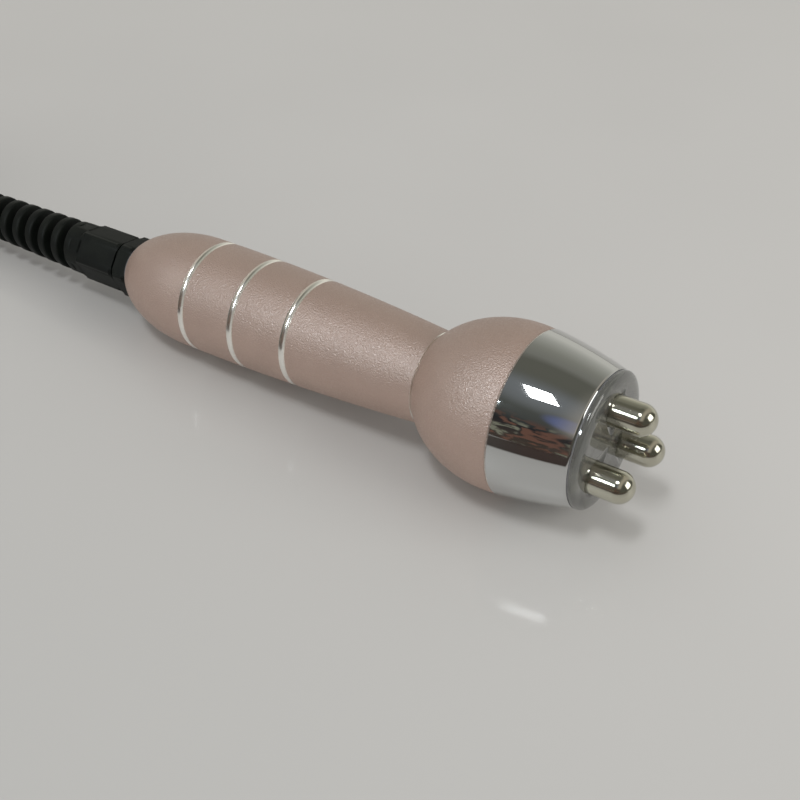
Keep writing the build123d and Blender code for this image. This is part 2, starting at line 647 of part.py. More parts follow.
# Cable connector
def plug_place(shape):
    """From the connector's own axis, u along +X, to its place on the coil, front towards -X."""
    return Pos(coil_x + PLUG_BACK[0], coil_y + PLUG_BACK[1], plug_z) * Rot(0, 0, 180) * shape


def make_plug():
    lip_end = NUT_START_U + NUT_LIP
    collar_u = lip_end + NUT_FLOAT
    shell_end = NUT_START_U - NUT_FLOAT

    barrel = rod(BARREL_START_U, NUT_END_U, BARREL_R) + rod(collar_u, collar_u + BARREL_COLLAR, BARREL_COLLAR_R)
    barrel += rod(NUT_END_U, BARREL_END_U, BARREL_NOSE_R)
    barrel -= rod(BARREL_START_U, BARREL_END_U, BARREL_BORE_R)
    keep("plug_barrel", plug_place(barrel))

    points = []
    for number in range(2 * NUT_FLUTES):
        radius = NUT_R - NUT_FLUTE_DEPTH * (number % 2)
        angle = math.pi * number / NUT_FLUTES
        points.append((radius * math.cos(angle), radius * math.sin(angle)))
    grip = extrude(Plane.YZ.offset(NUT_START_U) * make_face(Wire.make_polygon(points, close=True)),
                   NUT_END_U - NUT_START_U)
    ease_r = NUT_R - 2 * NUT_FLUTE_DEPTH
    grip &= turned_points((NUT_START_U, 0), (NUT_START_U, ease_r), (NUT_START_U + 1, NUT_R), (NUT_END_U - 1, NUT_R),
                          (NUT_END_U, ease_r), (NUT_END_U, 0))
    nut = grip - rod(lip_end, NUT_END_U, NUT_BORE_R) - rod(NUT_START_U, lip_end, BARREL_R + NUT_LIP_CLEARANCE)
    keep("plug_coupling_nut", plug_place(nut))

    insert = rod(INSERT_START_U, INSERT_END_U, BARREL_BORE_R - STUD_CLEARANCE)
    pins = []
    wires = []
    wire_ends = [(PLUG_CABLE_END_U, CORE_PITCH_R), (PLUG_CABLE_END_U + PLUG_WIRE_STRAIGHT, CORE_PITCH_R),
                 (PIN_START_U - PLUG_WIRE_STRAIGHT, PIN_PITCH_R), (PIN_START_U, PIN_PITCH_R)]
    for angle in electrode_angles():
        place = around(angle, PIN_PITCH_R)
        insert -= place * rod(INSERT_START_U, INSERT_END_U, PIN_R + STUD_CLEARANCE)
        pins.append(plug_place(place * rod(PIN_START_U, PIN_END_U, PIN_R)))
        wire, _ = bent_tube([(u, 0, r) for u, r in wire_ends], PLUG_WIRE_STRAIGHT, CORE_R)
        wires.append(plug_place(Rot(angle, 0, 0) * wire))
    keep("plug_insert", plug_place(insert))
    keep("plug_pins", *pins)
    keep("plug_wires", *wires)
    keep("plug_cable_end", plug_place(rod(0, PLUG_CABLE_END_U, CABLE_R)))

    thread_r = BARREL_R + THREAD_CLEARANCE
    shell = turned_points((0, 0), (0, BACK_SHELL_BACK_R), (CLAMP_LENGTH, BACK_SHELL_BACK_R),
                          (CLAMP_LENGTH + 2, BACK_SHELL_R), (shell_end, BACK_SHELL_R), (shell_end, 0))
    shell -= rod(0, CLAMP_LENGTH, CABLE_R + CLAMP_CLEARANCE)
    shell -= rod(CLAMP_LENGTH, shell_end, thread_r - BACK_SHELL_WALL)
    shell -= rod(BARREL_START_U - NUT_FLOAT, shell_end, thread_r)
    cut = Box(CLAMP_LENGTH, 2 * NUT_R, 2 * NUT_R, align=(Align.MIN, Align.CENTER, Align.MIN))
    shell -= Pos(0, 0, -CLAMP_SPLIT) * cut
    saddle = rod(0, CLAMP_LENGTH - CLAMP_SPLIT, BACK_SHELL_BACK_R, CABLE_R + CLAMP_CLEARANCE) & (
        Pos(0, 0, CLAMP_SPLIT) * cut)
    screws = []
    for side in (-1, 1):
        down = Pos(CLAMP_LENGTH / 2, side * CLAMP_EAR_Y, 0)
        hole = down * Cylinder(CLAMP_SCREW_R + STUD_CLEARANCE, 2 * NUT_R)
        head_z = CLAMP_SPLIT + math.sqrt(BACK_SHELL_BACK_R ** 2 - CLAMP_EAR_Y ** 2)
        seat = down * Pos(0, 0, head_z) * Cylinder(
            CLAMP_SCREW_HEAD_R + STUD_CLEARANCE, NUT_R, align=(Align.CENTER, Align.CENTER, Align.MIN))
        shell -= hole
        saddle = saddle - hole - seat
        shank = down * Pos(0, 0, -head_z) * Cylinder(
            CLAMP_SCREW_R, 2 * head_z, align=(Align.CENTER, Align.CENTER, Align.MIN))
        head = down * Pos(0, 0, head_z) * Cylinder(
            CLAMP_SCREW_HEAD_R, 1, align=(Align.CENTER, Align.CENTER, Align.MIN))
        screws.append(plug_place(shank + head))
    keep("plug_back_shell", plug_place(shell))
    keep("plug_clamp_saddle", plug_place(saddle))
    keep("plug_clamp_screws", *screws)


make_handle()
make_head()
make_neck_nipple()
make_collar()
make_disc()
make_ring_nut()
make_electrodes()
make_wiring()
make_gland()
make_bend_protector()
make_inner_cable()
handpiece = list(nodes)
free_length = make_coil() + make_free_runs()
make_tie()
make_plug()

print("tilt", round(math.degrees(tilt), 3), "axis", round(axis_x, 2), round(axis_z, 2))
print("cable leaves at", round(exit_x, 2), round(exit_z, 2), "free length", round(free_length, 1))
print("coil centre", round(coil_x, 2), round(coil_y, 2), "plug axis height", round(plug_z, 2))

for name, shapes in nodes.items():
    placed = [lying * shape if name in handpiece else shape for shape in shapes]
    solids = [solid for shape in placed for solid in shape.solids()]
    export_step(solids[0] if len(solids) == 1 else Compound(children=solids), f"parts/{name}.step")
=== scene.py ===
import json
import math

import bmesh
import bpy
from mathutils import Matrix, Vector


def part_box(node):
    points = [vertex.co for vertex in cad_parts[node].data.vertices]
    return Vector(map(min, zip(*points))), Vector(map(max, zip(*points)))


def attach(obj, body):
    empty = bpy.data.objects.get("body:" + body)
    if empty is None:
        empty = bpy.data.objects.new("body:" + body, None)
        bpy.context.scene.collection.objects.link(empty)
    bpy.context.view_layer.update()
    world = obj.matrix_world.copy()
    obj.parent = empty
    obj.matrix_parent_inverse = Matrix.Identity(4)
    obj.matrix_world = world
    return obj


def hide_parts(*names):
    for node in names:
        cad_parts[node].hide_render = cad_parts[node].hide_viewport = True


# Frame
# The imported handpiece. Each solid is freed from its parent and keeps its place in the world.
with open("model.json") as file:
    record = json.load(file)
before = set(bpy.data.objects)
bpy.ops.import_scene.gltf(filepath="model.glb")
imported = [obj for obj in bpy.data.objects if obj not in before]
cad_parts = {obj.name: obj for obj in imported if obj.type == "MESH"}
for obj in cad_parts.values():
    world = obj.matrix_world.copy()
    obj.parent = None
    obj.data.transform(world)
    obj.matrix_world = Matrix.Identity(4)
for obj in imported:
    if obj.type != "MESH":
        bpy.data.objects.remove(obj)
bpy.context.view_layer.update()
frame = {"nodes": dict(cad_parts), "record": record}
nodes = frame["nodes"]

# Line of the handpiece
# Every turned piece sits on one line, the middle of the cable inside it. In what follows s is the
# place along that line in millimetres, from the third groove towards the electrodes.
MM = 0.001
CABLE_CUT_S = -40.0


def end_of_tube(node, side):
    """Middle of the end face of a straight tube along X, at its low or high end."""
    middle = sum(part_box(node), Vector()).x / 2
    points = [v.co for v in nodes[node].data.vertices if (v.co.x - middle) * side > 0]
    return Vector([(min(p[i] for p in points) + max(p[i] for p in points)) / 2 for i in range(3)])


cable_cut = end_of_tube("inner_cable", 1)
cable_exit = end_of_tube("inner_cable", -1)
along = (cable_cut - cable_exit).normalized()
across = Vector((0, 1, 0))
upwards = along.cross(across)
line_start = cable_cut - along * CABLE_CUT_S * MM
cable_exit_s = CABLE_CUT_S - (cable_cut - cable_exit).length / MM
place = Matrix.Translation(line_start) @ Matrix((along, across, upwards)).transposed().to_4x4()
place = place @ Matrix.Scale(MM, 4)

# Camera
# A phone's view of the table from the front right, about 30 cm away, 40 degrees down.
CAMERA_PLACE = Vector((0.18131, -0.18475, 0.19531))
CAMERA_AIM = Vector((0.04843, 0.00771, 0.0))
CAMERA_ROLL = math.radians(-0.117)
CAMERA_LENS = 49.5
CAMERA_SENSOR = 36.0
CAMERA_NEAREST = 0.01
camera = bpy.data.objects.new("camera", bpy.data.cameras.new("camera"))
camera.data.lens = CAMERA_LENS
camera.data.sensor_width = CAMERA_SENSOR
camera.data.clip_start = CAMERA_NEAREST
camera.location = CAMERA_PLACE
look = (CAMERA_AIM - CAMERA_PLACE).to_track_quat("-Z", "Y").to_matrix()
camera.rotation_euler = (look @ Matrix.Rotation(CAMERA_ROLL, 3, "Z")).to_euler()
bpy.context.scene.collection.objects.link(camera)
bpy.context.scene.camera = camera
bpy.context.scene.view_settings.view_transform = "Standard"


# Table
# A pale laminate top, smooth enough to give a faint soft reflection, darker towards the front by
# painted shade. Seen in polished metal it is rougher, and past its front it shows a painted dark
# reflection standing in for the room there.
class Wire:
    """The output of a node. Its operators add Math nodes."""

    def __init__(self, maker, socket):
        self.maker = maker
        self.socket = socket

    def maths(self, operation, *others):
        return self.maker.add("ShaderNodeMath", {"operation": operation}, dict(enumerate((self, *others))))

    def __add__(self, other):
        return self.maths("ADD", other)

    def __sub__(self, other):
        return self.maths("SUBTRACT", other)

    def __rsub__(self, other):
        return self.maths("MULTIPLY", -1.0).maths("ADD", other)

    def __mul__(self, other):
        return self.maths("MULTIPLY", other)

    def __truediv__(self, other):
        return self.maths("DIVIDE", other)

    def step(self, low, high):
        """0 below low, 1 above high, smooth between them."""
        inputs = {"Value": self, "From Min": low, "From Max": high}
        return self.maker.add("ShaderNodeMapRange", {"interpolation_type": "SMOOTHSTEP"}, inputs)

    __radd__ = __add__
    __rmul__ = __mul__


class Maker:
    """Adds nodes to a tree: the node's type, its settings, then the values or links of its inputs."""

    def __init__(self, tree):
        self.tree = tree

    def add(self, kind, settings=None, inputs=None, out=0):
        node = self.tree.nodes.new(kind)
        for name, value in (settings or {}).items():
            if name == "stops":
                for stop in value[2:]:
                    node.color_ramp.elements.new(stop[0])
                for element, stop in zip(node.color_ramp.elements, value):
                    element.position = stop[0]
                    element.color = (*stop[1], 1)
            else:
                setattr(node, name, value)
        for name, value in (inputs or {}).items():
            self.join(value, node.inputs[name])
        return Wire(self, node.outputs[out])

    def join(self, value, socket):
        if isinstance(value, Wire):
            self.tree.links.new(value.socket, socket)
        else:
            socket.default_value = value

    def mix(self, share, first, second):
        """A colour between two colours."""
        colours = {0: share}
        for socket, colour in ((6, first), (7, second)):
            colours[socket] = colour if isinstance(colour, Wire) else (*colour, 1)
        return self.add("ShaderNodeMix", {"data_type": "RGBA"}, colours, out=2)

    def split(self, vector):
        """The three numbers of a vector."""
        axes = self.add("ShaderNodeSeparateXYZ", {}, {0: vector}).socket.node.outputs
        return [Wire(self, socket) for socket in axes]

    def noise(self, point, size, detail=2.0):
        """Soft random values from 0 to 1, with blobs of that size in metres."""
        return self.add("ShaderNodeTexNoise", {}, {"Vector": point, "Scale": 1 / size, "Detail": detail})

    def bump(self, height, depth):
        """A normal from a height of 0 to 1 that stands for that depth in metres."""
        return self.add("ShaderNodeBump", {}, {"Height": height, "Distance": depth, "Strength": 1.0})

    def turning_noise(self, place, scale, detail):
        """Soft random values from 0 to 1 that change along one direction only, like lathe marks."""
        inputs = {"W": place, "Scale": scale, "Detail": detail}
        return self.add("ShaderNodeTexNoise", {"noise_dimensions": "1D"}, inputs)


class Finish(Maker):
    """A material round one Principled shader."""

    def __init__(self, name):
        self.material = bpy.data.materials.new(name)
        self.material.use_nodes = True
        super().__init__(self.material.node_tree)
        self.shader = self.tree.nodes["Principled BSDF"]
        self.point = self.add("ShaderNodeTexCoord", out="Object")

    def set(self, **inputs):
        """Sets the shader's inputs, written with underscores for spaces."""
        for name, value in inputs.items():
            if isinstance(value, tuple) and "Color" in name:
                value = (*value, 1)
            self.join(value, self.shader.inputs[name.replace("_", " ")])
        return self.material


TABLE_SIZE = 6.0
TABLE_COLOUR = (0.60, 0.585, 0.56)
# Painted shade: the top's colour towards its front, darker where less light falls.
PAINTED_NEAR_SHADE_COLOUR = (0.51, 0.505, 0.485)
PAINTED_NEAR_SHADE_Y = (-0.22, 0.10)
# Painted reflection: the dark that polished metal sees on the top past its front.
PAINTED_FRONT_REFLECTION_COLOUR = (0.05, 0.035, 0.03)
FAR_FRONT_X = (-0.10, 0.0)
FAR_FRONT_Y = -0.118
FAR_FRONT_BLUR = 0.01
TABLE_CLOUD = 0.15
TABLE_CLOUD_SHADE = 0.97
TABLE_ROUGH = 0.10
TABLE_ROUGH_IN_METAL = 0.25
table_mesh = bpy.data.meshes.new("table")
half_table = TABLE_SIZE / 2
table_corners = [(x * half_table, y * half_table, 0) for x, y in ((-1, -1), (1, -1), (1, 1), (-1, 1))]
table_mesh.from_pydata(table_corners, [], [(0, 1, 2, 3)])
table = bpy.data.objects.new("table", table_mesh)
bpy.context.scene.collection.objects.link(table)
laminate = Finish("pale_laminate")
cloudy = laminate.noise(laminate.point, TABLE_CLOUD)
cloud_colour = [c * TABLE_CLOUD_SHADE for c in TABLE_COLOUR]
top_tone_and_painted_shade = laminate.mix(cloudy.step(0.3, 0.7), TABLE_COLOUR, cloud_colour)
table_x, table_y = laminate.split(laminate.point)[:2]
# Painted shade: the top turns darker towards its front, where less light falls.
top_tone_and_painted_shade = laminate.mix(table_y.step(*PAINTED_NEAR_SHADE_Y), PAINTED_NEAR_SHADE_COLOUR, top_tone_and_painted_shade)
# Painted reflection: seen only in polished metal, the top past its front is dark, standing in for a dark
# room.
painted_front_reflection = 1 - table_y.step(FAR_FRONT_Y - FAR_FRONT_BLUR, FAR_FRONT_Y + FAR_FRONT_BLUR)
painted_front_reflection = painted_front_reflection * table_x.step(*FAR_FRONT_X)
in_metal = laminate.add("ShaderNodeLightPath", out="Is Glossy Ray")
table_mesh.materials.append(laminate.set(
    Base_Color=laminate.mix(in_metal * painted_front_reflection, top_tone_and_painted_shade, PAINTED_FRONT_REFLECTION_COLOUR),
    Roughness=cloudy * 0.04 + in_metal * TABLE_ROUGH_IN_METAL + TABLE_ROUGH, Specular_IOR_Level=0.26))

# Light
# A plain soft room. Matt surfaces get an even light, and more of it from low in front. Polished
# metal sees pale walls behind, a dark room with shelves and papers in front, and three windows:
# above, at the front left and at the right.
ROOM_LIGHT_FRONT = (0.53, 0.535, 0.535)
ROOM_LIGHT_BACK = (0.56, 0.56, 0.56)
ROOM_LIGHT_LOW = (2.9, 2.75, 2.7)
LOW_LIGHT_RISE = (0.08, 0.38)
LOW_LIGHT_SIDES = (0.3, 0.7)
FAR_AWAY_COLOUR = (0.57, 0.565, 0.54)
BACK_WALL = [(0.0, (0.55, 0.54, 0.50)), (0.60, (0.70, 0.69, 0.63)), (0.71, (0.50, 0.50, 0.45)),
             (0.85, (0.31, 0.31, 0.27)), (0.93, (0.25, 0.25, 0.22)), (0.965, (0.15, 0.15, 0.125))]
FRONT_WALL = [(0.0, (0.075, 0.055, 0.045)), (0.55, (0.07, 0.055, 0.045)), (0.70, (0.03, 0.03, 0.032)),
              (0.78, (0.08, 0.085, 0.08)), (0.97, (0.13, 0.135, 0.12))]
CLUTTER_RISE = (0.38, 0.62)
CLUTTER_SCALE = 9.0
CLUTTER_DETAIL = 5.0
CLUTTER_DISTORTION = 0.6
SHELF_COLOUR = (0.18, 0.095, 0.07)
SHELF_NOISE = (0.40, 0.48)
PAPER_COLOUR = (0.26, 0.26, 0.20)
PAPER_NOISE = (0.55, 0.65)
LEFT_WALL_COLOUR = (0.34, 0.32, 0.30)
LEFT_WALL_SIDE = (0.22, 0.50)
RIGHT_CEILING_COLOUR = (0.50, 0.46, 0.40)
RIGHT_CEILING_SIDE = (0.06, 0.30)
RIGHT_CEILING_RISE = (0.38, 0.60)
RIGHT_WALL_COLOUR = (0.10, 0.10, 0.085)
RIGHT_WALL_SIDE = (0.42, 0.62)
RIGHT_WALL_RISE = (0.0, 0.15)
WALLS_MEET = (-0.35, 0.15)
CEILING_GLOW = (0.215, 0.23, 0.24)
CEILING_GLOW_NEAR = (0.90, 1.0)
BLUE_PATCH = (0.15, 0.18, 0.34)
BLUE_PATCH_NEAR = (0.982, 0.997)
BLUE_PATCH_WAY = Vector((0.19, -0.705, 0.683)).normalized()
# Name, way towards it, size, roll in degrees, power, colour, and whether it lights matt surfaces.
WINDOWS = [
    ("window_above", (-0.031, -0.362, 0.932), (0.15, 0.21), 25, 2.6, (0.95, 0.97, 1.0), True),
    ("window_left", (-0.33, -0.70, 0.63), (0.28, 0.10), 0, 3.0, (0.84, 0.95, 1.0), False),
    ("window_right", (0.85, 0.20, 0.49), (0.60, 0.50), 0, 3.1, (1.0, 0.99, 0.95), True),
]
WINDOW_AT = Vector((0.09, -0.01, 0.03))
room = bpy.data.worlds.new("room")
room.use_nodes = True
bpy.context.scene.world = room
sky = Maker(room.node_tree)
way = sky.add("ShaderNodeTexCoord", out="Generated")
way_x, way_y, way_z = sky.split(way)
level = way_z * 0.5 + 0.5


def nearness(direction):
    """1 for a ray in that direction, and less the further it is off."""
    inputs = {0: way, 1: direction}
    return sky.add("ShaderNodeVectorMath", {"operation": "DOT_PRODUCT"}, inputs, out="Value")


clutter = sky.add("ShaderNodeTexNoise", {}, {
    "Vector": way, "Scale": CLUTTER_SCALE, "Detail": CLUTTER_DETAIL, "Distortion": CLUTTER_DISTORTION})
low_down = 1 - way_z.step(*CLUTTER_RISE)
front = sky.add("ShaderNodeValToRGB", {"stops": FRONT_WALL}, {0: level})
window_way = Vector(WINDOWS[0][1]).normalized()
front = sky.mix(nearness(window_way).step(*CEILING_GLOW_NEAR), front, CEILING_GLOW)
front = sky.mix(nearness(BLUE_PATCH_WAY).step(*BLUE_PATCH_NEAR), front, BLUE_PATCH)
front = sky.mix((1 - clutter.step(*SHELF_NOISE)) * low_down, front, SHELF_COLOUR)
front = sky.mix(clutter.step(*PAPER_NOISE) * low_down, front, PAPER_COLOUR)
front = sky.mix((way_x * -1.0).step(*LEFT_WALL_SIDE), front, LEFT_WALL_COLOUR)
back = sky.add("ShaderNodeValToRGB", {"stops": BACK_WALL}, {0: level})
seen_in_metal = sky.add("ShaderNodeLightPath", out="Is Glossy Ray")
shade = sky.mix(way_y.step(*WALLS_MEET), front, back)
right_ceiling = way_x.step(*RIGHT_CEILING_SIDE) * way_z.step(*RIGHT_CEILING_RISE)
shade = sky.mix(right_ceiling, shade, RIGHT_CEILING_COLOUR)
right_wall = way_x.step(*RIGHT_WALL_SIDE) * way_z.step(*RIGHT_WALL_RISE)
shade = sky.mix(right_wall, shade, RIGHT_WALL_COLOUR)
even = sky.mix(way_y.step(-1.0, 1.0), ROOM_LIGHT_FRONT, ROOM_LIGHT_BACK)
low_light = (1 - way_z.step(*LOW_LIGHT_RISE)) * (way_y * -1.0).step(*LOW_LIGHT_SIDES)
even = sky.mix(low_light, even, ROOM_LIGHT_LOW)
seen_directly = sky.add("ShaderNodeLightPath", out="Is Camera Ray")
even = sky.mix(seen_directly, even, FAR_AWAY_COLOUR)
background = room.node_tree.nodes["Background"]
sky.join(sky.mix(seen_in_metal, even, shade), background.inputs["Color"])

for name, direction, size, roll, power, colour, lights_matt in WINDOWS:
    window = bpy.data.objects.new(name, bpy.data.lights.new(name, "AREA"))
    window.data.shape = "RECTANGLE"
    window.data.size, window.data.size_y = size
    window.data.energy = power
    window.data.color = colour
    window.visible_diffuse = lights_matt
    direction = Vector(direction).normalized()
    window.location = WINDOW_AT + direction
    facing = (-direction).to_track_quat("-Z", "Y").to_matrix()
    window.rotation_euler = (facing @ Matrix.Rotation(math.radians(roll), 3, "Z")).to_euler()
    bpy.context.scene.collection.objects.link(window)

# Cable
# Soft silicone-jacketed cable, 5 mm thick and 1.38 m long. It leaves the bend protector, drops to
# the table and is wound in a neat coil of four layers, and its end lies on the coil.
CABLE_WIDTH = 0.005
CABLE_R = 2.5
LEAD_POINTS = [(-14.6, 1.4, 8.15)]
LEAD_FIRST_RUN = 9.0
LEAD_LAST_RUN = 6.0
COIL_CENTRE = (-49.65, -11.0)
COIL_OUTER_R = 31.7
COIL_STEP = 5.5
COIL_LAYERS = 4
COIL_START_ANGLE = 46.0
COIL_TURNS = 7 + (290.0 - COIL_START_ANGLE) / 360
COIL_FIRST_Z = 3.2
COIL_START_DROP = 2.3
COIL_DROP_TURNS = 0.25
COIL_CLIMB_TURNS = 0.5
COIL_POINTS_A_TURN = 16
HEADING_STEP = 0.001
CABLE_STUB = 5.0
TAIL_POINTS = [(28.6, -20.4, 20.3), (32.6, -12.0, 22.0), (33.0, -2.5, 24.2), (29.6, 6.4, 26.4),
               (23.0, 13.2, 28.5)]
TAIL_FIRST_RUN = 7.0
TAIL_LAST_RUN = 8.0
PLUG_BACK = (6.7, 16.7, 29.7)
PLUG_CABLE_END = 8.5
coil_middle = Vector((cable_exit.x / MM + COIL_CENTRE[0], COIL_CENTRE[1], 0))
layer_turns = COIL_TURNS / COIL_LAYERS


def coil_point(turn):
    """The cable in the coil: it spirals in and out, and climbs a layer where it reverses."""
    fold = turn / layer_turns % 2
    inward = fold if fold < 1 else 2 - fold
    radius = COIL_OUTER_R - COIL_STEP * layer_turns * inward
    height = COIL_FIRST_Z + COIL_START_DROP * max(0.0, 1 - turn / COIL_DROP_TURNS) ** 2
    for layer in range(1, COIL_LAYERS):
        share = min(1.0, max(0.0, (turn - layer * layer_turns) / COIL_CLIMB_TURNS + 0.5))
        height += COIL_STEP * share * share * (3 - 2 * share)
    angle = math.radians(COIL_START_ANGLE + 360 * turn)
    return coil_middle + Vector((radius * math.cos(angle), radius * math.sin(angle), height))


def coil_heading(turn):
    """The way in which the cable runs at that turn."""
    before, after = max(0.0, turn - HEADING_STEP), min(COIL_TURNS, turn + HEADING_STEP)
    return (coil_point(after) - coil_point(before)).normalized()


exit_point = cable_exit / MM
coil_start = coil_point(0) - coil_heading(0) * CABLE_STUB
coil_end = coil_point(COIL_TURNS) + coil_heading(COIL_TURNS) * CABLE_STUB
plug_back = coil_middle + Vector(PLUG_BACK)
route = [exit_point, exit_point - along * LEAD_FIRST_RUN]
route += [Vector((exit_point.x + x, y, z)) for x, y, z in LEAD_POINTS]
route += [coil_start - coil_heading(0) * LEAD_LAST_RUN]
coil_count = round(COIL_TURNS * COIL_POINTS_A_TURN)
route += [coil_point(COIL_TURNS * number / coil_count) for number in range(coil_count + 1)]
route += [coil_end + coil_heading(COIL_TURNS) * TAIL_FIRST_RUN]
route += [coil_middle + Vector(point) for point in TAIL_POINTS]
route += [plug_back + Vector((TAIL_LAST_RUN, 0, 0)), plug_back - Vector((PLUG_CABLE_END, 0, 0))]

cable_curve = bpy.data.curves.new("cable", "CURVE")
cable_curve.dimensions = "3D"
cable_curve.bevel_depth = CABLE_WIDTH / 2
cable_curve.bevel_resolution = 6
cable_curve.resolution_u = 6
cable_curve.use_fill_caps = True
spline = cable_curve.splines.new("NURBS")
spline.points.add(len(route) - 1)
for control, point in zip(spline.points, route):
    control.co = (*(point * MM), 1)
spline.order_u = 3
spline.use_endpoint_u = True
cable = bpy.data.objects.new("cable", cable_curve)
bpy.context.scene.collection.objects.link(cable)

jacket = Finish("cable_jacket")
dusty = jacket.noise(jacket.point, size=0.0009)
jacket_look = jacket.set(
    Base_Color=jacket.mix(dusty.step(0.4, 0.8), (0.010, 0.011, 0.011), (0.018, 0.018, 0.019)),
    Roughness=dusty * 0.15 + 0.42, Normal=jacket.bump(dusty, depth=0.00004))
cable_curve.materials.append(jacket_look)
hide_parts("cable_lead", "cable_coil", "cable_tail", "plug_cable_end")
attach(cable, "handpiece")

# Handle
# Turned from aluminium bar, bead blasted and anodised in rose gold, then three V-grooves are cut
# with a diamond tool, so that they shine. Its neck has a narrow bright chamfer.
TURNED_SIDES = 256
TAIL_S = -64.1
TAIL_R = 9.2
BULGE_S = -41.0
BULGE_R = 16.0
NECK_S = 39.0
NECK_R = 12.3
NECK_CHAMFER = 0.5
HANDLE_BORE_R = 9.5
TAIL_WALL = 4.0
TAIL_HOLE_R = 6.3
GROOVES_S = (-35.2, -17.6, 0.0)
GROOVE_WIDTH = 1.9
GROOVE_DEPTH = 0.42
TAIL_RINGS = 40
BACK_RINGS = 90
GROOVE_RINGS = 11
ROSE = (0.352, 0.24, 0.188)
ROSE_DEEP = (0.336, 0.227, 0.177)
BRIGHT_CUT = (0.94, 0.92, 0.87)
BLAST_SIZE = 0.00040
BLAST_DEPTH = 0.00022
BLAST_ROUGH = 0.46
DYED_METAL = 0.2
FLECK_SIZE = 0.00050
FLECK_POLISH = 0.17
CUT_ROUGH = 0.18
CUT_BLUR = 0.05


def to_frame(piece):
    """Moves a piece made about the handpiece's line, in millimetres, to its place."""
    piece.data.transform(place)
    return piece


def finished(name, shape, material, sharp=35):
    """A smooth-shaded object from a bmesh, with sharp edges where it turns by more than an angle."""
    bmesh.ops.recalc_face_normals(shape, faces=shape.faces)
    mesh = bpy.data.meshes.new(name)
    shape.to_mesh(mesh)
    shape.free()
    mesh.shade_smooth()
    mesh.set_sharp_from_angle(angle=math.radians(sharp))
    mesh.materials.append(material)
    piece = bpy.data.objects.new(name, mesh)
    bpy.context.scene.collection.objects.link(piece)
    return piece


def skin(shape, rings):
    """Faces between each ring of points and the next, and from the last back to the first."""
    for ring, following in zip(rings, rings[1:] + rings[:1]):
        for number in range(len(ring)):
            after = (number + 1) % len(ring)
            shape.faces.new((ring[number], ring[after], following[after], following[number]))


def turned(outline, sides=TURNED_SIDES, mill=None):
    """A closed solid turned from (s, radius) points, its radius cut back to mill(angle) where given."""
    shape = bmesh.new()
    rings = []
    for s, radius in outline:
        ring = []
        for number in range(sides):
            angle = 2 * math.pi * number / sides
            r = min(radius, mill(angle)) if mill else radius
            ring.append(shape.verts.new((s, -r * math.sin(angle), r * math.cos(angle))))
        rings.append(ring)
    skin(shape, rings)
    bmesh.ops.remove_doubles(shape, verts=shape.verts, dist=1e-5)
    bmesh.ops.dissolve_degenerate(shape, dist=1e-6, edges=shape.edges)
    return shape


def spread(low, high, count):
    """Evenly spaced values from low to high, both included."""
    return [low + (high - low) * number / (count - 1) for number in range(count)]


tail_half_length = (BULGE_S - TAIL_S) / math.sqrt(1 - (TAIL_R / BULGE_R) ** 2)
back_arc_r = ((NECK_S - BULGE_S) ** 2 + (BULGE_R - NECK_R) ** 2) / (2 * (BULGE_R - NECK_R))


def handle_radius(s):
    """Elliptical tail, then one long arc to the neck, with the round-bottomed grooves cut in."""
    if s < BULGE_S:
        radius = BULGE_R * math.sqrt(1 - ((s - BULGE_S) / tail_half_length) ** 2)
    else:
        radius = BULGE_R - back_arc_r + math.sqrt(back_arc_r ** 2 - (s - BULGE_S) ** 2)
    nearest = min(abs(s - groove) for groove in GROOVES_S)
    return radius - GROOVE_DEPTH * max(0.0, 1 - (nearest / (GROOVE_WIDTH / 2)) ** 2)


tail_turn = math.acos(TAIL_R / BULGE_R)
handle_s = [BULGE_S - tail_half_length * math.sin(angle) for angle in spread(tail_turn, 0, TAIL_RINGS)]
handle_s += spread(BULGE_S, NECK_S - NECK_CHAMFER, BACK_RINGS)[1:]
for groove in GROOVES_S:
    handle_s += [groove + share * GROOVE_WIDTH / 2 for share in spread(-1, 1, GROOVE_RINGS)]
tail_wall_s = TAIL_S + TAIL_WALL
handle_outline = [(s, handle_radius(s)) for s in sorted(handle_s)]
handle_outline += [(NECK_S, NECK_R - NECK_CHAMFER), (NECK_S, HANDLE_BORE_R)]
handle_outline += [(tail_wall_s, HANDLE_BORE_R), (tail_wall_s, TAIL_HOLE_R), (TAIL_S, TAIL_HOLE_R)]


def line_point(finish):
    """Place about the handpiece's line, in millimetres, as a vector of s, across and up."""
    where, turn, scale = place.inverted().decompose()
    return finish.add("ShaderNodeMapping", {}, {
        "Vector": finish.point, "Location": where, "Rotation": turn.to_euler(), "Scale": scale})


def anodised(name, cuts):
    """Blasted and anodised aluminium. Cuts are (middle, width) in s where the dye is cut away."""
    finish = Finish(name)
    s = finish.split(line_point(finish))[0]
    grain = finish.noise(finish.point, BLAST_SIZE)
    fleck = finish.noise(finish.point, FLECK_SIZE, detail=1.0).step(0.50, 0.62)
    patch = finish.noise(finish.point, size=0.012)
    colour = finish.mix(patch.step(0.35, 0.65), ROSE, ROSE_DEEP)
    rough = BLAST_ROUGH - fleck * FLECK_POLISH
    bare = None
    for middle, width in cuts:
        mask = 1 - (s - middle).maths("ABSOLUTE").step(width / 2 - CUT_BLUR, width / 2 + CUT_BLUR)
        bare = mask if bare is None else bare.maths("MAXIMUM", mask)
    blasted = 1 - bare
    return finish.set(
        Base_Color=finish.mix(bare, colour, BRIGHT_CUT), Metallic=bare * (1 - DYED_METAL) + DYED_METAL,
        Roughness=rough * blasted + bare * CUT_ROUGH, IOR=1.8, Specular_IOR_Level=1.0,
        Normal=finish.bump((grain - 0.5) * blasted, BLAST_DEPTH))


handle_cuts = [(groove, GROOVE_WIDTH) for groove in GROOVES_S] + [(NECK_S, 2 * NECK_CHAMFER)]
handle_look = anodised("anodised_handle", handle_cuts)
handle = to_frame(finished("handle", turned(handle_outline), handle_look, sharp=20))
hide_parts("handle_shell")
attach(handle, "handpiece")

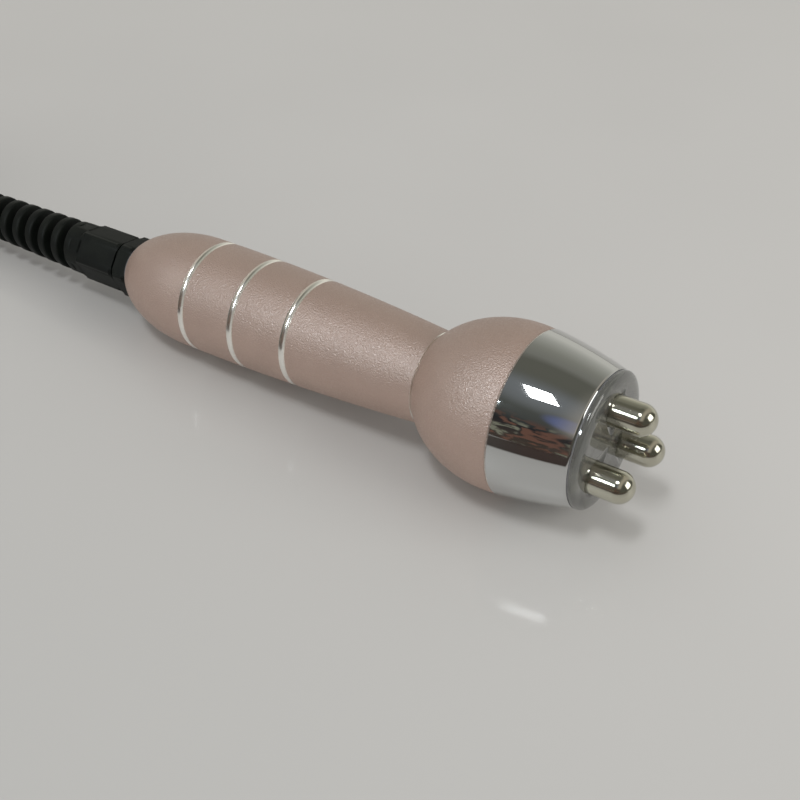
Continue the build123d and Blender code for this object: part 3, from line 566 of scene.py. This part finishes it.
# Ball head
# Turned and anodised like the handle, on to which it screws by the neck nipple.
HEAD_S = 60.9
HEAD_R = 21.5
SEAM_S = 65.6
HEAD_BORE_S = 45.5
HEAD_SHOULDER_R = 11.5
HEAD_RINGS = 70
MOUTH_S = 58.0
MOUTH_R = 18.3
SEAM_EDGE = 0.35
head_half_length = (HEAD_S - NECK_S) / math.sqrt(1 - (NECK_R / HEAD_R) ** 2)
neck_angle = math.acos((NECK_S - HEAD_S) / head_half_length)
seam_angle = math.acos((SEAM_S - SEAM_EDGE - HEAD_S) / head_half_length)
head_outline = [(HEAD_S + head_half_length * math.cos(angle), HEAD_R * math.sin(angle))
                for angle in spread(neck_angle, seam_angle, HEAD_RINGS)]
head_outline += [(SEAM_S, head_outline[-1][1] - SEAM_EDGE), (SEAM_S, MOUTH_R), (MOUTH_S, MOUTH_R)]
head_outline += [(HEAD_BORE_S, HEAD_SHOULDER_R), (HEAD_BORE_S, HANDLE_BORE_R), (NECK_S, HANDLE_BORE_R)]
head_look = anodised("anodised_ball", [(SEAM_S, SEAM_EDGE)])
head = to_frame(finished("ball_head", turned(head_outline), head_look, sharp=30))
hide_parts("head_shell")
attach(head, "handpiece")

# Chrome collar
# Turned brass, polished and chromed. It screws into the ball's mouth and clamps the disc.
COLLAR_REAR_R = 21.4
COLLAR_MID_R = 19.9
COLLAR_FRONT_R = 17.6
COLLAR_FRONT_S = 84.6
COLLAR_LIP = 0.3
COLLAR_FRONT_CHAMFER = 0.25
COLLAR_BORE_R = 16.0
COLLAR_WALL = 2.9
COLLAR_SPIGOT_S = 58.3
COLLAR_SPIGOT_R = 18.2
COLLAR_RINGS = 64
DISC_OPENING_R = 14.2


def arc_through(first, middle, last, count):
    """Points on the circle through three (s, radius) points, from the first to the last."""
    (ax, ay), (bx, by), (cx, cy) = first, middle, last
    twice = 2 * (ax * (by - cy) + bx * (cy - ay) + cx * (ay - by))
    a, b, c = ax * ax + ay * ay, bx * bx + by * by, cx * cx + cy * cy
    ox = (a * (by - cy) + b * (cy - ay) + c * (ay - by)) / twice
    oy = (a * (cx - bx) + b * (ax - cx) + c * (bx - ax)) / twice
    radius = math.hypot(ax - ox, ay - oy)
    start, end = math.atan2(ay - oy, ax - ox), math.atan2(cy - oy, cx - ox)
    return [(ox + radius * math.cos(t), oy + radius * math.sin(t)) for t in spread(start, end, count)]


collar_middle = ((SEAM_S + COLLAR_FRONT_S) / 2, COLLAR_MID_R)
collar_arc = arc_through((SEAM_S + COLLAR_LIP, COLLAR_REAR_R), collar_middle,
                         (COLLAR_FRONT_S - COLLAR_FRONT_CHAMFER, COLLAR_FRONT_R), COLLAR_RINGS)
wall_s = COLLAR_FRONT_S - COLLAR_WALL
collar_outline = [(SEAM_S, COLLAR_REAR_R - COLLAR_LIP)] + collar_arc
collar_outline += [(COLLAR_FRONT_S, COLLAR_FRONT_R - COLLAR_FRONT_CHAMFER)]
collar_outline += [(COLLAR_FRONT_S, DISC_OPENING_R), (wall_s, DISC_OPENING_R), (wall_s, COLLAR_BORE_R)]
collar_outline += [(COLLAR_SPIGOT_S, COLLAR_BORE_R), (COLLAR_SPIGOT_S, COLLAR_SPIGOT_R)]
collar_outline += [(SEAM_S, COLLAR_SPIGOT_R)]
chrome = Finish("chrome_plate")
smear = chrome.noise(chrome.point, size=0.008, detail=3.0)
chrome_look = chrome.set(
    Base_Color=(0.57, 0.575, 0.57), Metallic=1.0, Roughness=smear.step(0.35, 0.75) * 0.05 + 0.02)
collar = to_frame(finished("chrome_collar_polished", turned(collar_outline), chrome_look, sharp=30))
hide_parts("chrome_collar")
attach(collar, "handpiece")

# Insulating disc
# Moulded smoky plastic with a rounded rim, clamped on a thin grey gasket. It keeps the
# electrodes apart, and their studs pass through its three holes.
GASKET_THICK = 0.4
DISC_R = 17.4
DISC_EDGE = 0.5
DISC_FACE_R = 14.0
DISC_RISE = 2.0
DISC_RIM_RINGS = 16
DISC_SPIGOT_R = 14.0
DISC_SPIGOT_LENGTH = 7.9
ELECTRODE_COUNT = 3
ELECTRODE_PITCH_R = 9.4
ELECTRODE_ROLL = math.radians(-3.6)
STUD_R = 2.0
STUD_HOLE_R = 2.05
SEAT_DEPTH = 6.0
SEAT_HOLE_R = 4.05
DRILL_PAST = 1
disc_back_s = COLLAR_FRONT_S + GASKET_THICK
face_s = disc_back_s + DISC_RISE
rim_s = disc_back_s + DISC_EDGE
rim_arc = [(rim_s + (face_s - rim_s) * math.sin(t), DISC_FACE_R + (DISC_R - DISC_FACE_R) * math.cos(t))
           for t in spread(0, math.pi / 2, DISC_RIM_RINGS)]
spigot_s = disc_back_s - DISC_SPIGOT_LENGTH
disc_outline = [(disc_back_s, DISC_SPIGOT_R), (disc_back_s, DISC_R)] + rim_arc
disc_outline += [(face_s, 0), (spigot_s, 0), (spigot_s, DISC_SPIGOT_R)]
smoky = Finish("smoky_plastic")
haze = smoky.noise(smoky.point, size=0.004)
smoky_look = smoky.set(
    Base_Color=(0.345, 0.35, 0.325), Roughness=haze * 0.05 + 0.03, IOR=1.49, Transmission_Weight=0.75,
    Coat_Weight=0.4, Coat_Roughness=0.03)


def plain_mesh(piece):
    """The mesh that a piece's modifiers or curve give."""
    bpy.context.view_layer.update()
    return bpy.data.meshes.new_from_object(piece.evaluated_get(bpy.context.evaluated_depsgraph_get()))


def cut_away(piece, cutter):
    """Takes the cutter's solid out of a piece, and removes the cutter."""
    cut = piece.modifiers.new("cut", "BOOLEAN")
    cut.object = cutter
    cut.operation = "DIFFERENCE"
    cut.solver = "EXACT"
    mesh = plain_mesh(piece)
    piece.modifiers.clear()
    piece.data = mesh
    bpy.data.objects.remove(cutter)


disc = finished("smoky_disc", turned(disc_outline), smoky_look, sharp=30)
seat_s = face_s - SEAT_DEPTH
drill_outline = [(spigot_s - DRILL_PAST, 0), (spigot_s - DRILL_PAST, STUD_HOLE_R), (seat_s, STUD_HOLE_R)]
drill_outline += [(seat_s, SEAT_HOLE_R), (face_s + DRILL_PAST, SEAT_HOLE_R), (face_s + DRILL_PAST, 0)]
for number in range(ELECTRODE_COUNT):
    angle = ELECTRODE_ROLL + 2 * math.pi * number / ELECTRODE_COUNT
    drill = finished("drill", turned(drill_outline, sides=64), smoky_look)
    drill.data.transform(Matrix.Translation(
        (0, -ELECTRODE_PITCH_R * math.sin(angle), ELECTRODE_PITCH_R * math.cos(angle))))
    cut_away(disc, drill)
to_frame(disc)
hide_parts("insulator_disc")
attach(disc, "handpiece")

# Electrodes
# Three round-nosed pins, turned in one piece with their studs, polished and nickel plated.
ELECTRODE_R = 4.0
ELECTRODE_LENGTH = 10.5
ELECTRODE_NOSE_RINGS = 24
STUD_END_S = 71.4


def geometry_tree(name, inputs):
    """An empty Geometry Nodes tree with named inputs, each a name and a socket type."""
    tree = bpy.data.node_groups.new(name, "GeometryNodeTree")
    tree.interface.new_socket("Geometry", in_out="INPUT", socket_type="NodeSocketGeometry")
    for title, kind in inputs:
        tree.interface.new_socket(title, in_out="INPUT", socket_type="NodeSocket" + kind)
    tree.interface.new_socket("Geometry", in_out="OUTPUT", socket_type="NodeSocketGeometry")
    maker = Maker(tree)
    entry = tree.nodes.new("NodeGroupInput")
    given = {socket.name: Wire(maker, socket) for socket in entry.outputs if socket.name}
    return tree, maker, given


def close_tree(maker, geometry, material):
    """Ends a tree: real geometry, in one material."""
    real = maker.add("GeometryNodeRealizeInstances", {}, {0: geometry})
    painted = maker.add("GeometryNodeSetMaterial", {}, {"Geometry": real, "Material": material})
    maker.join(painted, maker.tree.nodes.new("NodeGroupOutput").inputs[0])


def ring_of_copies():
    """Copies what it is given round the X axis."""
    tree, maker, given = geometry_tree("ring_of_copies", [
        ("Count", "Int"), ("Roll", "Float"), ("Material", "Material")])
    points = maker.add("GeometryNodePoints", {}, {"Count": given["Count"]})
    turn = maker.add("GeometryNodeInputIndex") * (2 * math.pi) / given["Count"] + given["Roll"]
    turned_by = maker.add("ShaderNodeCombineXYZ", {}, {0: turn})
    copies = maker.add("GeometryNodeInstanceOnPoints", {}, {
        "Points": points, "Instance": given["Geometry"], "Rotation": turned_by})
    close_tree(maker, copies, given["Material"])
    return tree


def grown(piece, tree, **inputs):
    """Runs a Geometry Nodes tree on a piece and keeps the result as plain mesh."""
    modifier = piece.modifiers.new(tree.name, "NODES")
    modifier.node_group = tree
    for item in tree.interface.items_tree:
        if item.in_out == "INPUT" and item.name in inputs:
            modifier[item.identifier] = inputs[item.name]
    mesh = plain_mesh(piece)
    piece.modifiers.clear()
    piece.data = mesh
    return piece


ring_tree = ring_of_copies()
tip_s = face_s + ELECTRODE_LENGTH
round_s = tip_s - ELECTRODE_R
electrode_outline = [(STUD_END_S, 0), (STUD_END_S, STUD_R), (seat_s, STUD_R), (seat_s, ELECTRODE_R)]
electrode_outline += [(round_s + ELECTRODE_R * math.sin(t), ELECTRODE_R * math.cos(t))
                      for t in spread(0, math.pi / 2, ELECTRODE_NOSE_RINGS)]
nickel = Finish("polished_nickel")
turning = nickel.split(line_point(nickel))[0]
marks = nickel.turning_noise(turning, scale=14.0, detail=2.0)
nickel_look = nickel.set(
    Base_Color=(0.53, 0.515, 0.43), Metallic=1.0, Roughness=marks * 0.08 + 0.08,
    Normal=nickel.bump(marks, depth=0.000004))
electrodes = finished("electrodes", turned(electrode_outline, sides=96), nickel_look, sharp=30)
electrodes.data.transform(Matrix.Translation((0, 0, ELECTRODE_PITCH_R)))
grown(electrodes, ring_tree, Count=ELECTRODE_COUNT, Roll=ELECTRODE_ROLL, Material=nickel_look)
to_frame(electrodes)
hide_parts("electrode_1", "electrode_2", "electrode_3")
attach(electrodes, "handpiece")

# Cable gland
# Black nylon gland, screwed into the handle's tail against a rubber washer. Its hexagon and the
# dome nut's are chamfered at both ends.
HEX_ROLL = math.radians(50.0)
GLAND_GASKET_THICK = 1.0
GLAND_HEX_THICK = 5.0
GLAND_HEX_FLATS = 16.0
GLAND_HEX_CORNER_R = 9.15
GLAND_THREAD_R = 6.2
GLAND_THREAD_END_S = -55.0
GLAND_REAR_R = 6.4
GLAND_REAR_LENGTH = 9.0
GLAND_FINGER_R = 5.6
GLAND_FINGER_LENGTH = 5.5
GLAND_BORE_R = 3.2
HEX_CHAMFER = 0.7
gland_front_s = TAIL_S - GLAND_GASKET_THICK
gland_back_s = gland_front_s - GLAND_HEX_THICK
gland_rear_s = gland_back_s - GLAND_REAR_LENGTH
fingers_s = gland_rear_s - GLAND_FINGER_LENGTH


def hexagon(flats):
    """The distance to the side of a hexagon at an angle, with its first flat at HEX_ROLL."""
    def reach(angle):
        from_flat = (angle - HEX_ROLL + math.pi / 6) % (math.pi / 3) - math.pi / 6
        return flats / 2 / math.cos(from_flat)
    return reach


nylon = Finish("black_nylon")
pebble = nylon.noise(nylon.point, size=0.00035, detail=3.0)
wear = nylon.noise(nylon.point, size=0.006)
nylon_look = nylon.set(
    Base_Color=nylon.mix(wear.step(0.4, 0.7), (0.004, 0.0055, 0.0045), (0.007, 0.009, 0.007)),
    Roughness=wear * 0.12 + 0.46, Normal=nylon.bump(pebble, depth=0.00003), Specular_IOR_Level=0.14)
gland_outline = [
    (fingers_s, GLAND_BORE_R), (fingers_s, GLAND_FINGER_R), (gland_rear_s, GLAND_FINGER_R),
    (gland_rear_s, GLAND_REAR_R), (gland_back_s, GLAND_REAR_R),
    (gland_back_s, GLAND_HEX_CORNER_R - HEX_CHAMFER), (gland_back_s + HEX_CHAMFER, GLAND_HEX_CORNER_R),
    (gland_front_s - HEX_CHAMFER, GLAND_HEX_CORNER_R), (gland_front_s, GLAND_HEX_CORNER_R - HEX_CHAMFER),
    (gland_front_s, GLAND_THREAD_R), (GLAND_THREAD_END_S, GLAND_THREAD_R),
    (GLAND_THREAD_END_S, GLAND_BORE_R)]
gland_shape = turned(gland_outline, mill=hexagon(GLAND_HEX_FLATS))
gland = to_frame(finished("gland", gland_shape, nylon_look, sharp=25))
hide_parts("gland_body")
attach(gland, "handpiece")

# Bend protector
# Dome nut with a spiral, moulded in one: a flat strip wound round the cable between two rings,
# so that the cable bends in a wide curve. It tapers towards the cable.
DOME_GAP = 1.2
DOME_HEX = 15.3
DOME_FLATS = 15.0
DOME_CORNER_R = 8.5
DOME_LENGTH = 5.5
DOME_UNDERCUT = 0.8
DOME_REAR_EDGE = 0.5
DOME_BORE_R = 6.5
FINGER_SEAT_R = 5.7
FINGER_SIDE_GAP = 0.5
FINGER_END_GAP = 0.3
SPIRAL_FRONT_R = 7.8
SPIRAL_REAR_R = 6.7
SPIRAL_BORE_R = 3.1
SPIRAL_PITCH = 6.1
SPIRAL_HAND = -1
SPIRAL_STRIP = 2.8
SPIRAL_END_RING = 3.5
SPIRAL_EDGE = 0.4
END_RING_EDGE = 0.5
STRIP_ROUNDING = 0.55
STRIP_ROUNDING_POINTS = 4
STRIP_POINTS = 640
STRIP_INSET = 0.05
STRIP_COVER = 0.1
dome_front_s = gland_back_s - DOME_GAP
dome_hex_s = dome_front_s - DOME_HEX
spiral_s = dome_hex_s - DOME_LENGTH
end_ring_s = cable_exit_s + SPIRAL_END_RING


def wound_strip():
    """Winds a rounded strip round the X axis, from one place to another, while it tapers."""
    tree, maker, given = geometry_tree("wound_strip", [
        ("Start", "Float"), ("Sunk", "Float"), ("Length", "Float"), ("Pitch", "Float"), ("Strip", "Float"),
        ("Bore", "Float"), ("Start Radius", "Float"), ("End Radius", "Float"), ("Rounding", "Float"),
        ("Turn", "Float"), ("Material", "Material")])
    length = given["Length"]
    height = given["Start Radius"] - given["Bore"]
    section = maker.add("GeometryNodeCurvePrimitiveQuadrilateral", {}, {
        "Width": given["Strip"], "Height": height})
    section = maker.add("GeometryNodeFilletCurve", {"mode": "POLY"}, {
        "Curve": section, "Radius": given["Rounding"], "Count": STRIP_ROUNDING_POINTS})
    end = maker.add("ShaderNodeCombineXYZ", {}, {2: length})
    line = maker.add("GeometryNodeCurvePrimitiveLine", {}, {"End": end})
    line = maker.add("GeometryNodeResampleCurve", {}, {"Curve": line, "Count": STRIP_POINTS})
    strip = maker.add("GeometryNodeCurveToMesh", {}, {
        "Curve": line, "Profile Curve": section, "Fill Caps": True})
    wide, high, run = maker.split(maker.add("GeometryNodeInputPosition"))
    taper = (given["End Radius"] - given["Bore"]) / height
    share = run / length
    radius = (high + height * 0.5) * (share * (taper - 1) + 1) + given["Bore"]
    angle = (run - given["Sunk"]) / given["Pitch"] * given["Turn"]
    where = maker.add("ShaderNodeCombineXYZ", {}, {
        0: given["Start"] - run + wide, 1: radius * angle.maths("SINE") * -1.0,
        2: radius * angle.maths("COSINE")})
    wound = maker.add("GeometryNodeSetPosition", {}, {"Geometry": strip, "Position": where})
    close_tree(maker, wound, given["Material"])
    return tree


sunk = SPIRAL_END_RING - SPIRAL_STRIP / 2 - STRIP_COVER
strip_radii = {"Start Radius": SPIRAL_FRONT_R - STRIP_INSET, "End Radius": SPIRAL_REAR_R - STRIP_INSET}
strip_piece = finished("bend_protector_spiral", bmesh.new(), nylon_look)
grown(strip_piece, wound_strip(), Start=spiral_s + sunk, Sunk=sunk, Length=spiral_s - end_ring_s + 2 * sunk,
      Pitch=SPIRAL_PITCH, Strip=SPIRAL_STRIP, Bore=SPIRAL_BORE_R + STRIP_INSET, Rounding=STRIP_ROUNDING,
      Turn=2 * math.pi * SPIRAL_HAND, Material=nylon_look, **strip_radii)
strip_piece.data.shade_smooth()
to_frame(strip_piece)
seat_end_s = fingers_s - FINGER_END_GAP
dome_outline = [
    (spiral_s, SPIRAL_BORE_R), (spiral_s, SPIRAL_FRONT_R - SPIRAL_EDGE),
    (spiral_s + SPIRAL_EDGE, SPIRAL_FRONT_R), (dome_hex_s + DOME_UNDERCUT, SPIRAL_FRONT_R),
    (dome_hex_s, DOME_CORNER_R - DOME_REAR_EDGE), (dome_hex_s + HEX_CHAMFER, DOME_CORNER_R),
    (dome_front_s - HEX_CHAMFER, DOME_CORNER_R),
    (dome_front_s, DOME_CORNER_R - HEX_CHAMFER), (dome_front_s, DOME_BORE_R),
    (gland_rear_s - FINGER_SIDE_GAP, DOME_BORE_R), (seat_end_s, FINGER_SEAT_R), (seat_end_s, SPIRAL_BORE_R)]
dome_shape = turned(dome_outline, mill=hexagon(DOME_FLATS))
dome = to_frame(finished("bend_protector_nut", dome_shape, nylon_look, sharp=25))
ring_outline = [
    (cable_exit_s, SPIRAL_BORE_R), (cable_exit_s, SPIRAL_REAR_R - END_RING_EDGE),
    (cable_exit_s + END_RING_EDGE, SPIRAL_REAR_R), (end_ring_s - SPIRAL_EDGE, SPIRAL_REAR_R),
    (end_ring_s, SPIRAL_REAR_R - SPIRAL_EDGE), (end_ring_s, SPIRAL_BORE_R)]
end_ring = to_frame(finished("bend_protector_ring", turned(ring_outline), nylon_look, sharp=30))
for piece in (strip_piece, dome, end_ring):
    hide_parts("bend_protector")
    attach(piece, "handpiece")

# Cable inside
# The same cable runs on through the bend protector and the gland, and shows between the turns of
# the spiral. Its jacket ends in the handle, where its cores come out.
CABLE_CUT_EDGE = 0.4
inside_outline = [(cable_exit_s, 0), (cable_exit_s, CABLE_R), (CABLE_CUT_S - CABLE_CUT_EDGE, CABLE_R)]
inside_outline += [(CABLE_CUT_S, CABLE_R - CABLE_CUT_EDGE), (CABLE_CUT_S, 0)]
inside = to_frame(finished("cable_inside", turned(inside_outline, sides=48), jacket_look))
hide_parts("inner_cable")
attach(inside, "handpiece")

# Coil tie
# A flat plastic-covered wire goes once round the coil, and its two ends are twisted together. The
# plastic is thinner at both sides of the wire.
TIE_WIDTH = 4.0
TIE_THICK = 0.5
TIE_EDGE_THICK = 0.3
TIE_RIDGE_FOOT_Y = 0.6
TIE_RIDGE_TOP_Y = 0.35
TIE_CLEARANCE = 0.2
TIE_ANGLE = math.radians(215.0)
TWIST_R = 1.1
TWIST_LENGTH = 8.0
TWIST_TURNS = 3.5
TWIST_POINTS = 60
STRAND_R_SHARE = 0.5
STRAND_SWING_SHARE = 0.48
CORNER_POINTS = 10
coil_inner_r = COIL_OUTER_R - COIL_STEP * layer_turns
tie_low = Vector((coil_inner_r - CABLE_R - TIE_CLEARANCE - TIE_THICK, 0.0))
tie_high = Vector((COIL_OUTER_R + CABLE_R + TIE_CLEARANCE + TIE_THICK,
                   COIL_FIRST_Z + COIL_STEP * (COIL_LAYERS - 1) + CABLE_R + TIE_CLEARANCE + TIE_THICK))
tie_place = Matrix.Scale(MM, 4) @ Matrix.Translation(coil_middle) @ Matrix.Rotation(TIE_ANGLE, 4, "Z")


def tie_ring(y, inset):
    """One line of the band round the coil, that far inside its outer outline."""
    points = []
    corner = CABLE_R
    for side_x, side_z, start in ((1, 1, 0), (-1, 1, 90), (-1, -1, 180), (1, -1, 270)):
        x = tie_high.x - corner if side_x > 0 else tie_low.x + corner
        z = tie_high.y - corner if side_z > 0 else tie_low.y + corner
        for angle in spread(math.radians(start), math.radians(start + 90), CORNER_POINTS):
            reach = corner - inset
            points.append((x + reach * math.cos(angle), y, z + reach * math.sin(angle)))
    return points


band = bmesh.new()
edge_y = TIE_WIDTH / 2
thin = TIE_THICK - TIE_EDGE_THICK
lines = [tie_ring(y, inset) for y, inset in (
    (-edge_y, TIE_THICK), (-edge_y, thin), (-TIE_RIDGE_FOOT_Y, thin), (-TIE_RIDGE_TOP_Y, 0.0),
    (TIE_RIDGE_TOP_Y, 0.0), (TIE_RIDGE_FOOT_Y, thin), (edge_y, thin), (edge_y, TIE_THICK))]
skin(band, [[band.verts.new(point) for point in line] for line in lines])
tie_plastic = Finish("tie_plastic")
scuffed = tie_plastic.noise(tie_plastic.point, size=0.0015)
tie_look = tie_plastic.set(
    Base_Color=tie_plastic.mix(scuffed.step(0.4, 0.8), (0.012, 0.012, 0.013), (0.020, 0.020, 0.021)),
    Roughness=scuffed * 0.15 + 0.30, Normal=tie_plastic.bump(scuffed, depth=0.00003))
tie_band = finished("coil_tie_band", band, tie_look)
tie_band.data.transform(tie_place)

strand_curve = bpy.data.curves.new("coil_tie_twist", "CURVE")
strand_curve.dimensions = "3D"
strand_curve.bevel_depth = TWIST_R * STRAND_R_SHARE
strand_curve.bevel_resolution = 3
strand_curve.use_fill_caps = True
for start in (0, math.pi):
    strand = strand_curve.splines.new("POLY")
    strand.points.add(TWIST_POINTS - 1)
    for control, share in zip(strand.points, spread(0, 1, TWIST_POINTS)):
        angle = start + 2 * math.pi * TWIST_TURNS * share
        swing = TWIST_R * STRAND_SWING_SHARE
        control.co = (swing * math.cos(angle), TWIST_LENGTH * (share - 0.5), swing * math.sin(angle), 1)
strands = bpy.data.objects.new("coil_tie_twist_line", strand_curve)
bpy.context.scene.collection.objects.link(strands)
twist_mesh = plain_mesh(strands)
bpy.data.objects.remove(strands)
twist_mesh.shade_smooth()
twist_mesh.materials.clear()
twist_mesh.materials.append(tie_look)
tie_twist = bpy.data.objects.new("coil_tie_twist", twist_mesh)
bpy.context.scene.collection.objects.link(tie_twist)
twist_at = Vector((tie_high.x - TIE_THICK / 2 + TWIST_R, 0, tie_high.y / 2))
twist_mesh.transform(tie_place @ Matrix.Translation(twist_at))
for piece in (tie_band, tie_twist):
    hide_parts("coil_tie")
    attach(piece, "handpiece")

# Connector nut
# Turned brass, nickel plated. Its grip has straight rounded flutes between two smooth edges, and
# it turns on the barrel. u is the place along the connector from its back end.
NUT_R = 7.4
NUT_BORE_R = 6.0
NUT_LIP = 1.8
NUT_LIP_BORE_R = 5.2
NUT_START_U = 19.4
NUT_END_U = 31.0
NUT_FLUTES = 24
NUT_FLUTE_DEPTH = 0.35
NUT_SIDES_A_FLUTE = 12
NUT_EDGE = 1.0
NUT_EDGE_R = 0.7
NUT_MOUTH_EDGE = 0.3
plug_place = Matrix.Scale(MM, 4) @ Matrix.Translation(plug_back) @ Matrix.Rotation(math.pi, 4, "Z")


def fluted(angle):
    """Radius of the nut's grip, with its flutes between round ribs."""
    return NUT_R - NUT_FLUTE_DEPTH * (0.5 - 0.5 * math.cos(NUT_FLUTES * angle)) ** 2


plated = Finish("plated_plug")
plug_u = plated.split(plated.point)[0]
lathe = plated.turning_noise(plug_u, scale=9000.0, detail=1.0)
cloud = plated.noise(plated.point, size=0.004)
plated_look = plated.set(
    Base_Color=plated.mix(cloud.step(0.35, 0.7), (0.66, 0.65, 0.62), (0.60, 0.59, 0.57)), Metallic=1.0,
    Roughness=lathe * 0.10 + cloud * 0.06 + 0.14, Normal=plated.bump(lathe, depth=0.000006))
lip_u = NUT_START_U + NUT_LIP
nut_outline = [
    (NUT_START_U, NUT_LIP_BORE_R), (NUT_START_U, NUT_R - NUT_EDGE_R), (NUT_START_U + NUT_EDGE, NUT_R),
    (NUT_END_U - NUT_EDGE, NUT_R), (NUT_END_U, NUT_R - NUT_EDGE_R), (NUT_END_U, NUT_BORE_R + NUT_MOUTH_EDGE),
    (NUT_END_U - NUT_MOUTH_EDGE, NUT_BORE_R), (lip_u, NUT_BORE_R), (lip_u, NUT_LIP_BORE_R)]
nut_shape = turned(nut_outline, sides=NUT_FLUTES * NUT_SIDES_A_FLUTE, mill=fluted)
nut = finished("plug_nut", nut_shape, plated_look, sharp=30)
nut.data.transform(plug_place)
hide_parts("plug_coupling_nut")
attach(nut, "plug_nut")

# Connector screws
# Two small slotted screws close the clamp on the cable. They stand side by side across it.
SCREW_R = 0.8
SCREW_HEAD_R = 1.4
SCREW_HEAD = 1.0
SCREW_HEAD_EDGE = 0.2
SCREW_EAR_Y = 3.9
SCREW_U = 3.5
SCREW_SLOT = 0.35
CLAMP_SPLIT = 0.25
BACK_SHELL_BACK_R = 4.7
screw_head_z = CLAMP_SPLIT + math.sqrt(BACK_SHELL_BACK_R ** 2 - SCREW_EAR_Y ** 2)


def row_of_copies():
    """Copies what it is given along the Y axis, from one side to the other."""
    tree, maker, given = geometry_tree("row_of_copies", [
        ("Count", "Int"), ("Reach", "Float"), ("Material", "Material")])
    end = maker.add("ShaderNodeCombineXYZ", {}, {1: given["Reach"]})
    start = maker.add("ShaderNodeCombineXYZ", {}, {1: given["Reach"] * -1.0})
    row = maker.add("GeometryNodeMeshLine", {"mode": "END_POINTS"}, {
        "Count": given["Count"], "Start Location": start, "Offset": end})
    copies = maker.add("GeometryNodeInstanceOnPoints", {}, {"Points": row, "Instance": given["Geometry"]})
    close_tree(maker, copies, given["Material"])
    return tree


screw_top_z = screw_head_z + SCREW_HEAD
screw_outline = [
    (-screw_head_z, 0), (-screw_head_z, SCREW_R), (screw_head_z, SCREW_R), (screw_head_z, SCREW_HEAD_R),
    (screw_top_z - SCREW_HEAD_EDGE, SCREW_HEAD_R), (screw_top_z, SCREW_HEAD_R - SCREW_HEAD_EDGE),
    (screw_top_z, 0)]
screws = finished("plug_screws", turned(screw_outline, sides=48), plated_look, sharp=30)
slot_shape = bmesh.new()
slot_size = Matrix.Diagonal((2 * SCREW_SLOT, SCREW_SLOT, 3 * SCREW_HEAD_R, 1))
bmesh.ops.create_cube(slot_shape, size=1.0, matrix=Matrix.Translation((screw_top_z, 0, 0)) @ slot_size)
cut_away(screws, finished("slot_cutter", slot_shape, plated_look))
screws.data.transform(Matrix.Translation((SCREW_U, 0, 0)) @ Matrix.Rotation(-math.pi / 2, 4, "Y"))
grown(screws, row_of_copies(), Count=2, Reach=SCREW_EAR_Y, Material=plated_look)
screws.data.transform(plug_place)
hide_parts("plug_clamp_screws")
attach(screws, "handpiece")

# Inner pieces
# What the shells hide, and the connector's plain parts, keep their solids, each in the colour,
# metal and roughness of its stuff.
UNEVEN_SIZE = 0.0012
UNEVEN_SHADE = 0.88
PLAIN_FINISHES = {
    "bare_aluminium": ((0.72, 0.72, 0.73), 1.0, 0.32),
    "gasket_rubber": ((0.16, 0.16, 0.165), 0.0, 0.5),
    "zinc_steel": ((0.62, 0.62, 0.62), 1.0, 0.3),
    "tinned_brass": ((0.70, 0.67, 0.55), 1.0, 0.35),
    "gold_contact": ((0.80, 0.60, 0.25), 1.0, 0.2),
    "wire_red": ((0.35, 0.02, 0.015), 0.0, 0.45),
    "heat_shrink": ((0.02, 0.02, 0.02), 0.0, 0.5),
    "black_nylon": ((0.012, 0.012, 0.013), 0.0, 0.42),
    "plug_metal": ((0.70, 0.70, 0.71), 1.0, 0.25),
}


def plain_finish(name, colour, metal, rough):
    """One stuff, a little uneven in shade and polish."""
    finish = Finish(name + "_solid")
    uneven = finish.noise(finish.point, UNEVEN_SIZE)
    darker = [c * UNEVEN_SHADE for c in colour]
    return finish.set(Base_Color=finish.mix(uneven.step(0.3, 0.7), colour, darker), Metallic=metal,
                      Roughness=uneven * 0.1 + (rough - 0.05))


looks = {name: plain_finish(name, *values) for name, values in PLAIN_FINISHES.items()}
for part in frame["record"]["subparts"]:
    if part["material_slot"] in looks:
        for slot in nodes[part["node"]].material_slots:
            slot.material = looks[part["material_slot"]]
